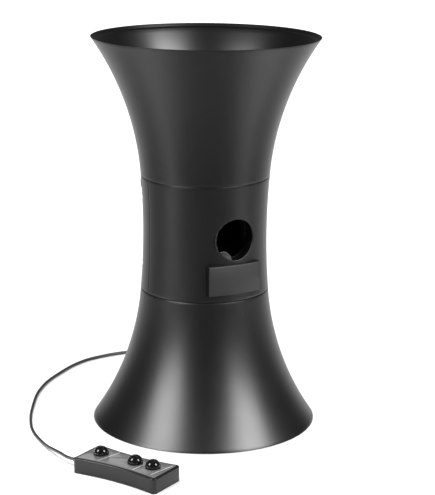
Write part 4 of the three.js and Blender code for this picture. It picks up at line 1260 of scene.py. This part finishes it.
def addPanel(name, place, towards, width, height, power, lit, onlyShine=False, spread=180):
    # a soft rectangular light for the lit objects, or a card that only shows in their gloss
    data = bpy.data.lights.new(name, "AREA")
    data.shape = "RECTANGLE"
    data.size = width
    data.size_y = height
    data.energy = power
    data.spread = radians(spread)
    light = newObject(name, data)
    light.location = place
    light.rotation_mode = "QUATERNION"
    light.rotation_quaternion = towards.to_track_quat("-Z", "Y")
    receivers = bpy.data.collections.new(f"{name}_lit")
    for piece in lit:
        receivers.objects.link(piece)
    light.light_linking.receiver_collection = receivers
    light.visible_diffuse = not onlyShine
    return light


def fromCameraSide(azimuth, elevation, distance):
    # azimuth is measured from the camera's side, to the right
    forward = cameraSetup["forward"]
    turn = atan2(-forward[1], -forward[0]) + radians(azimuth)
    return Euler((0, -radians(elevation), turn)).to_matrix() @ Vector((distance, 0, 0))


def addSoftbox(name, lit, onlyShine=False):
    azimuth, elevation, width, height, power = lightSetup[name]
    offset = fromCameraSide(azimuth, elevation, 2.4)
    return addPanel(name, Vector((axisX, axisY, 0.2)) + offset, -offset, width, height, power, lit, onlyShine)


def addWorld(strength):
    world = bpy.data.worlds.new("studio")
    world.use_nodes = True
    background = world.node_tree.nodes["Background"]
    background.inputs["Color"].default_value = grey(1)
    background.inputs["Strength"].default_value = strength
    bpy.context.scene.world = world


# softboxes and cards: azimuth, elevation, width, height, power
lightSetup = {
    "world": 0.15,
    "left_card": (-49, 29, 1.3, 1.5, 285),
    "right_card": (56, 36, 1.3, 1.65, 350),
    "left_softbox": (-64, 36, 0.8, 1, 40),
    "right_softbox": (60, 36, 0.7, 1, 40),
    "rear_card": (180, 24, 2, 1.3, 6),
    "floorPanel": (3.55, 0.75, 6, 8, 240),
    "poolHeight": 0.5,
    "poolSize": 0.36,
    "poolSpread": 50,
}
# small lights that keep the floor pale where the robot shades it: azimuth, distance from the axis, power
pools = {
    "left_near_pool": (-66, 0.48, 1.8),
    "left_far_pool": (-60, 1, 3.4),
    "right_near_pool": (74, 0.48, 1.8),
    "right_far_pool": (66, 1, 2.6),
    "remote_pool": (-14, 0.38, 0.22),
}
down = Vector((0, 0, -1))
floor = addFloor()
addWorld(lightSetup["world"])
inOutletShade = ["throw_frame", "feed_chute", "upper_wheel_motor", "lower_wheel_motor"]
others = [
    piece for piece in bpy.context.scene.objects
    if piece.type == "MESH" and piece not in shells and piece != floor and "throw_" not in piece.name
    and piece.name not in inOutletShade
]
far, high, *panelSize = lightSetup["floorPanel"]
behind = Vector((axisX, axisY, high)) + fromCameraSide(180, 0, far)
addPanel("floor_panel", behind, down, *panelSize, [floor])
addSoftbox("left_card", shells, True)
addSoftbox("right_card", shells, True)
for name, (azimuth, distance, power) in pools.items():
    above = Vector((axisX, axisY, lightSetup["poolHeight"])) + fromCameraSide(azimuth, 0, distance)
    size = lightSetup["poolSize"]
    addPanel(name, above, down, size, size, power, [floor], spread=lightSetup["poolSpread"])
addSoftbox("left_softbox", others)
addSoftbox("right_softbox", others)
rearCard = addSoftbox("rear_card", remotePieces, True)
rearCard.light_linking.blocker_collection = rearCard.light_linking.receiver_collection
shells[0].visible_glossy = False  # the foot stands out of the gloss of the remote beside it
bpy.context.scene.view_settings.view_transform = "Standard"
print("light set")
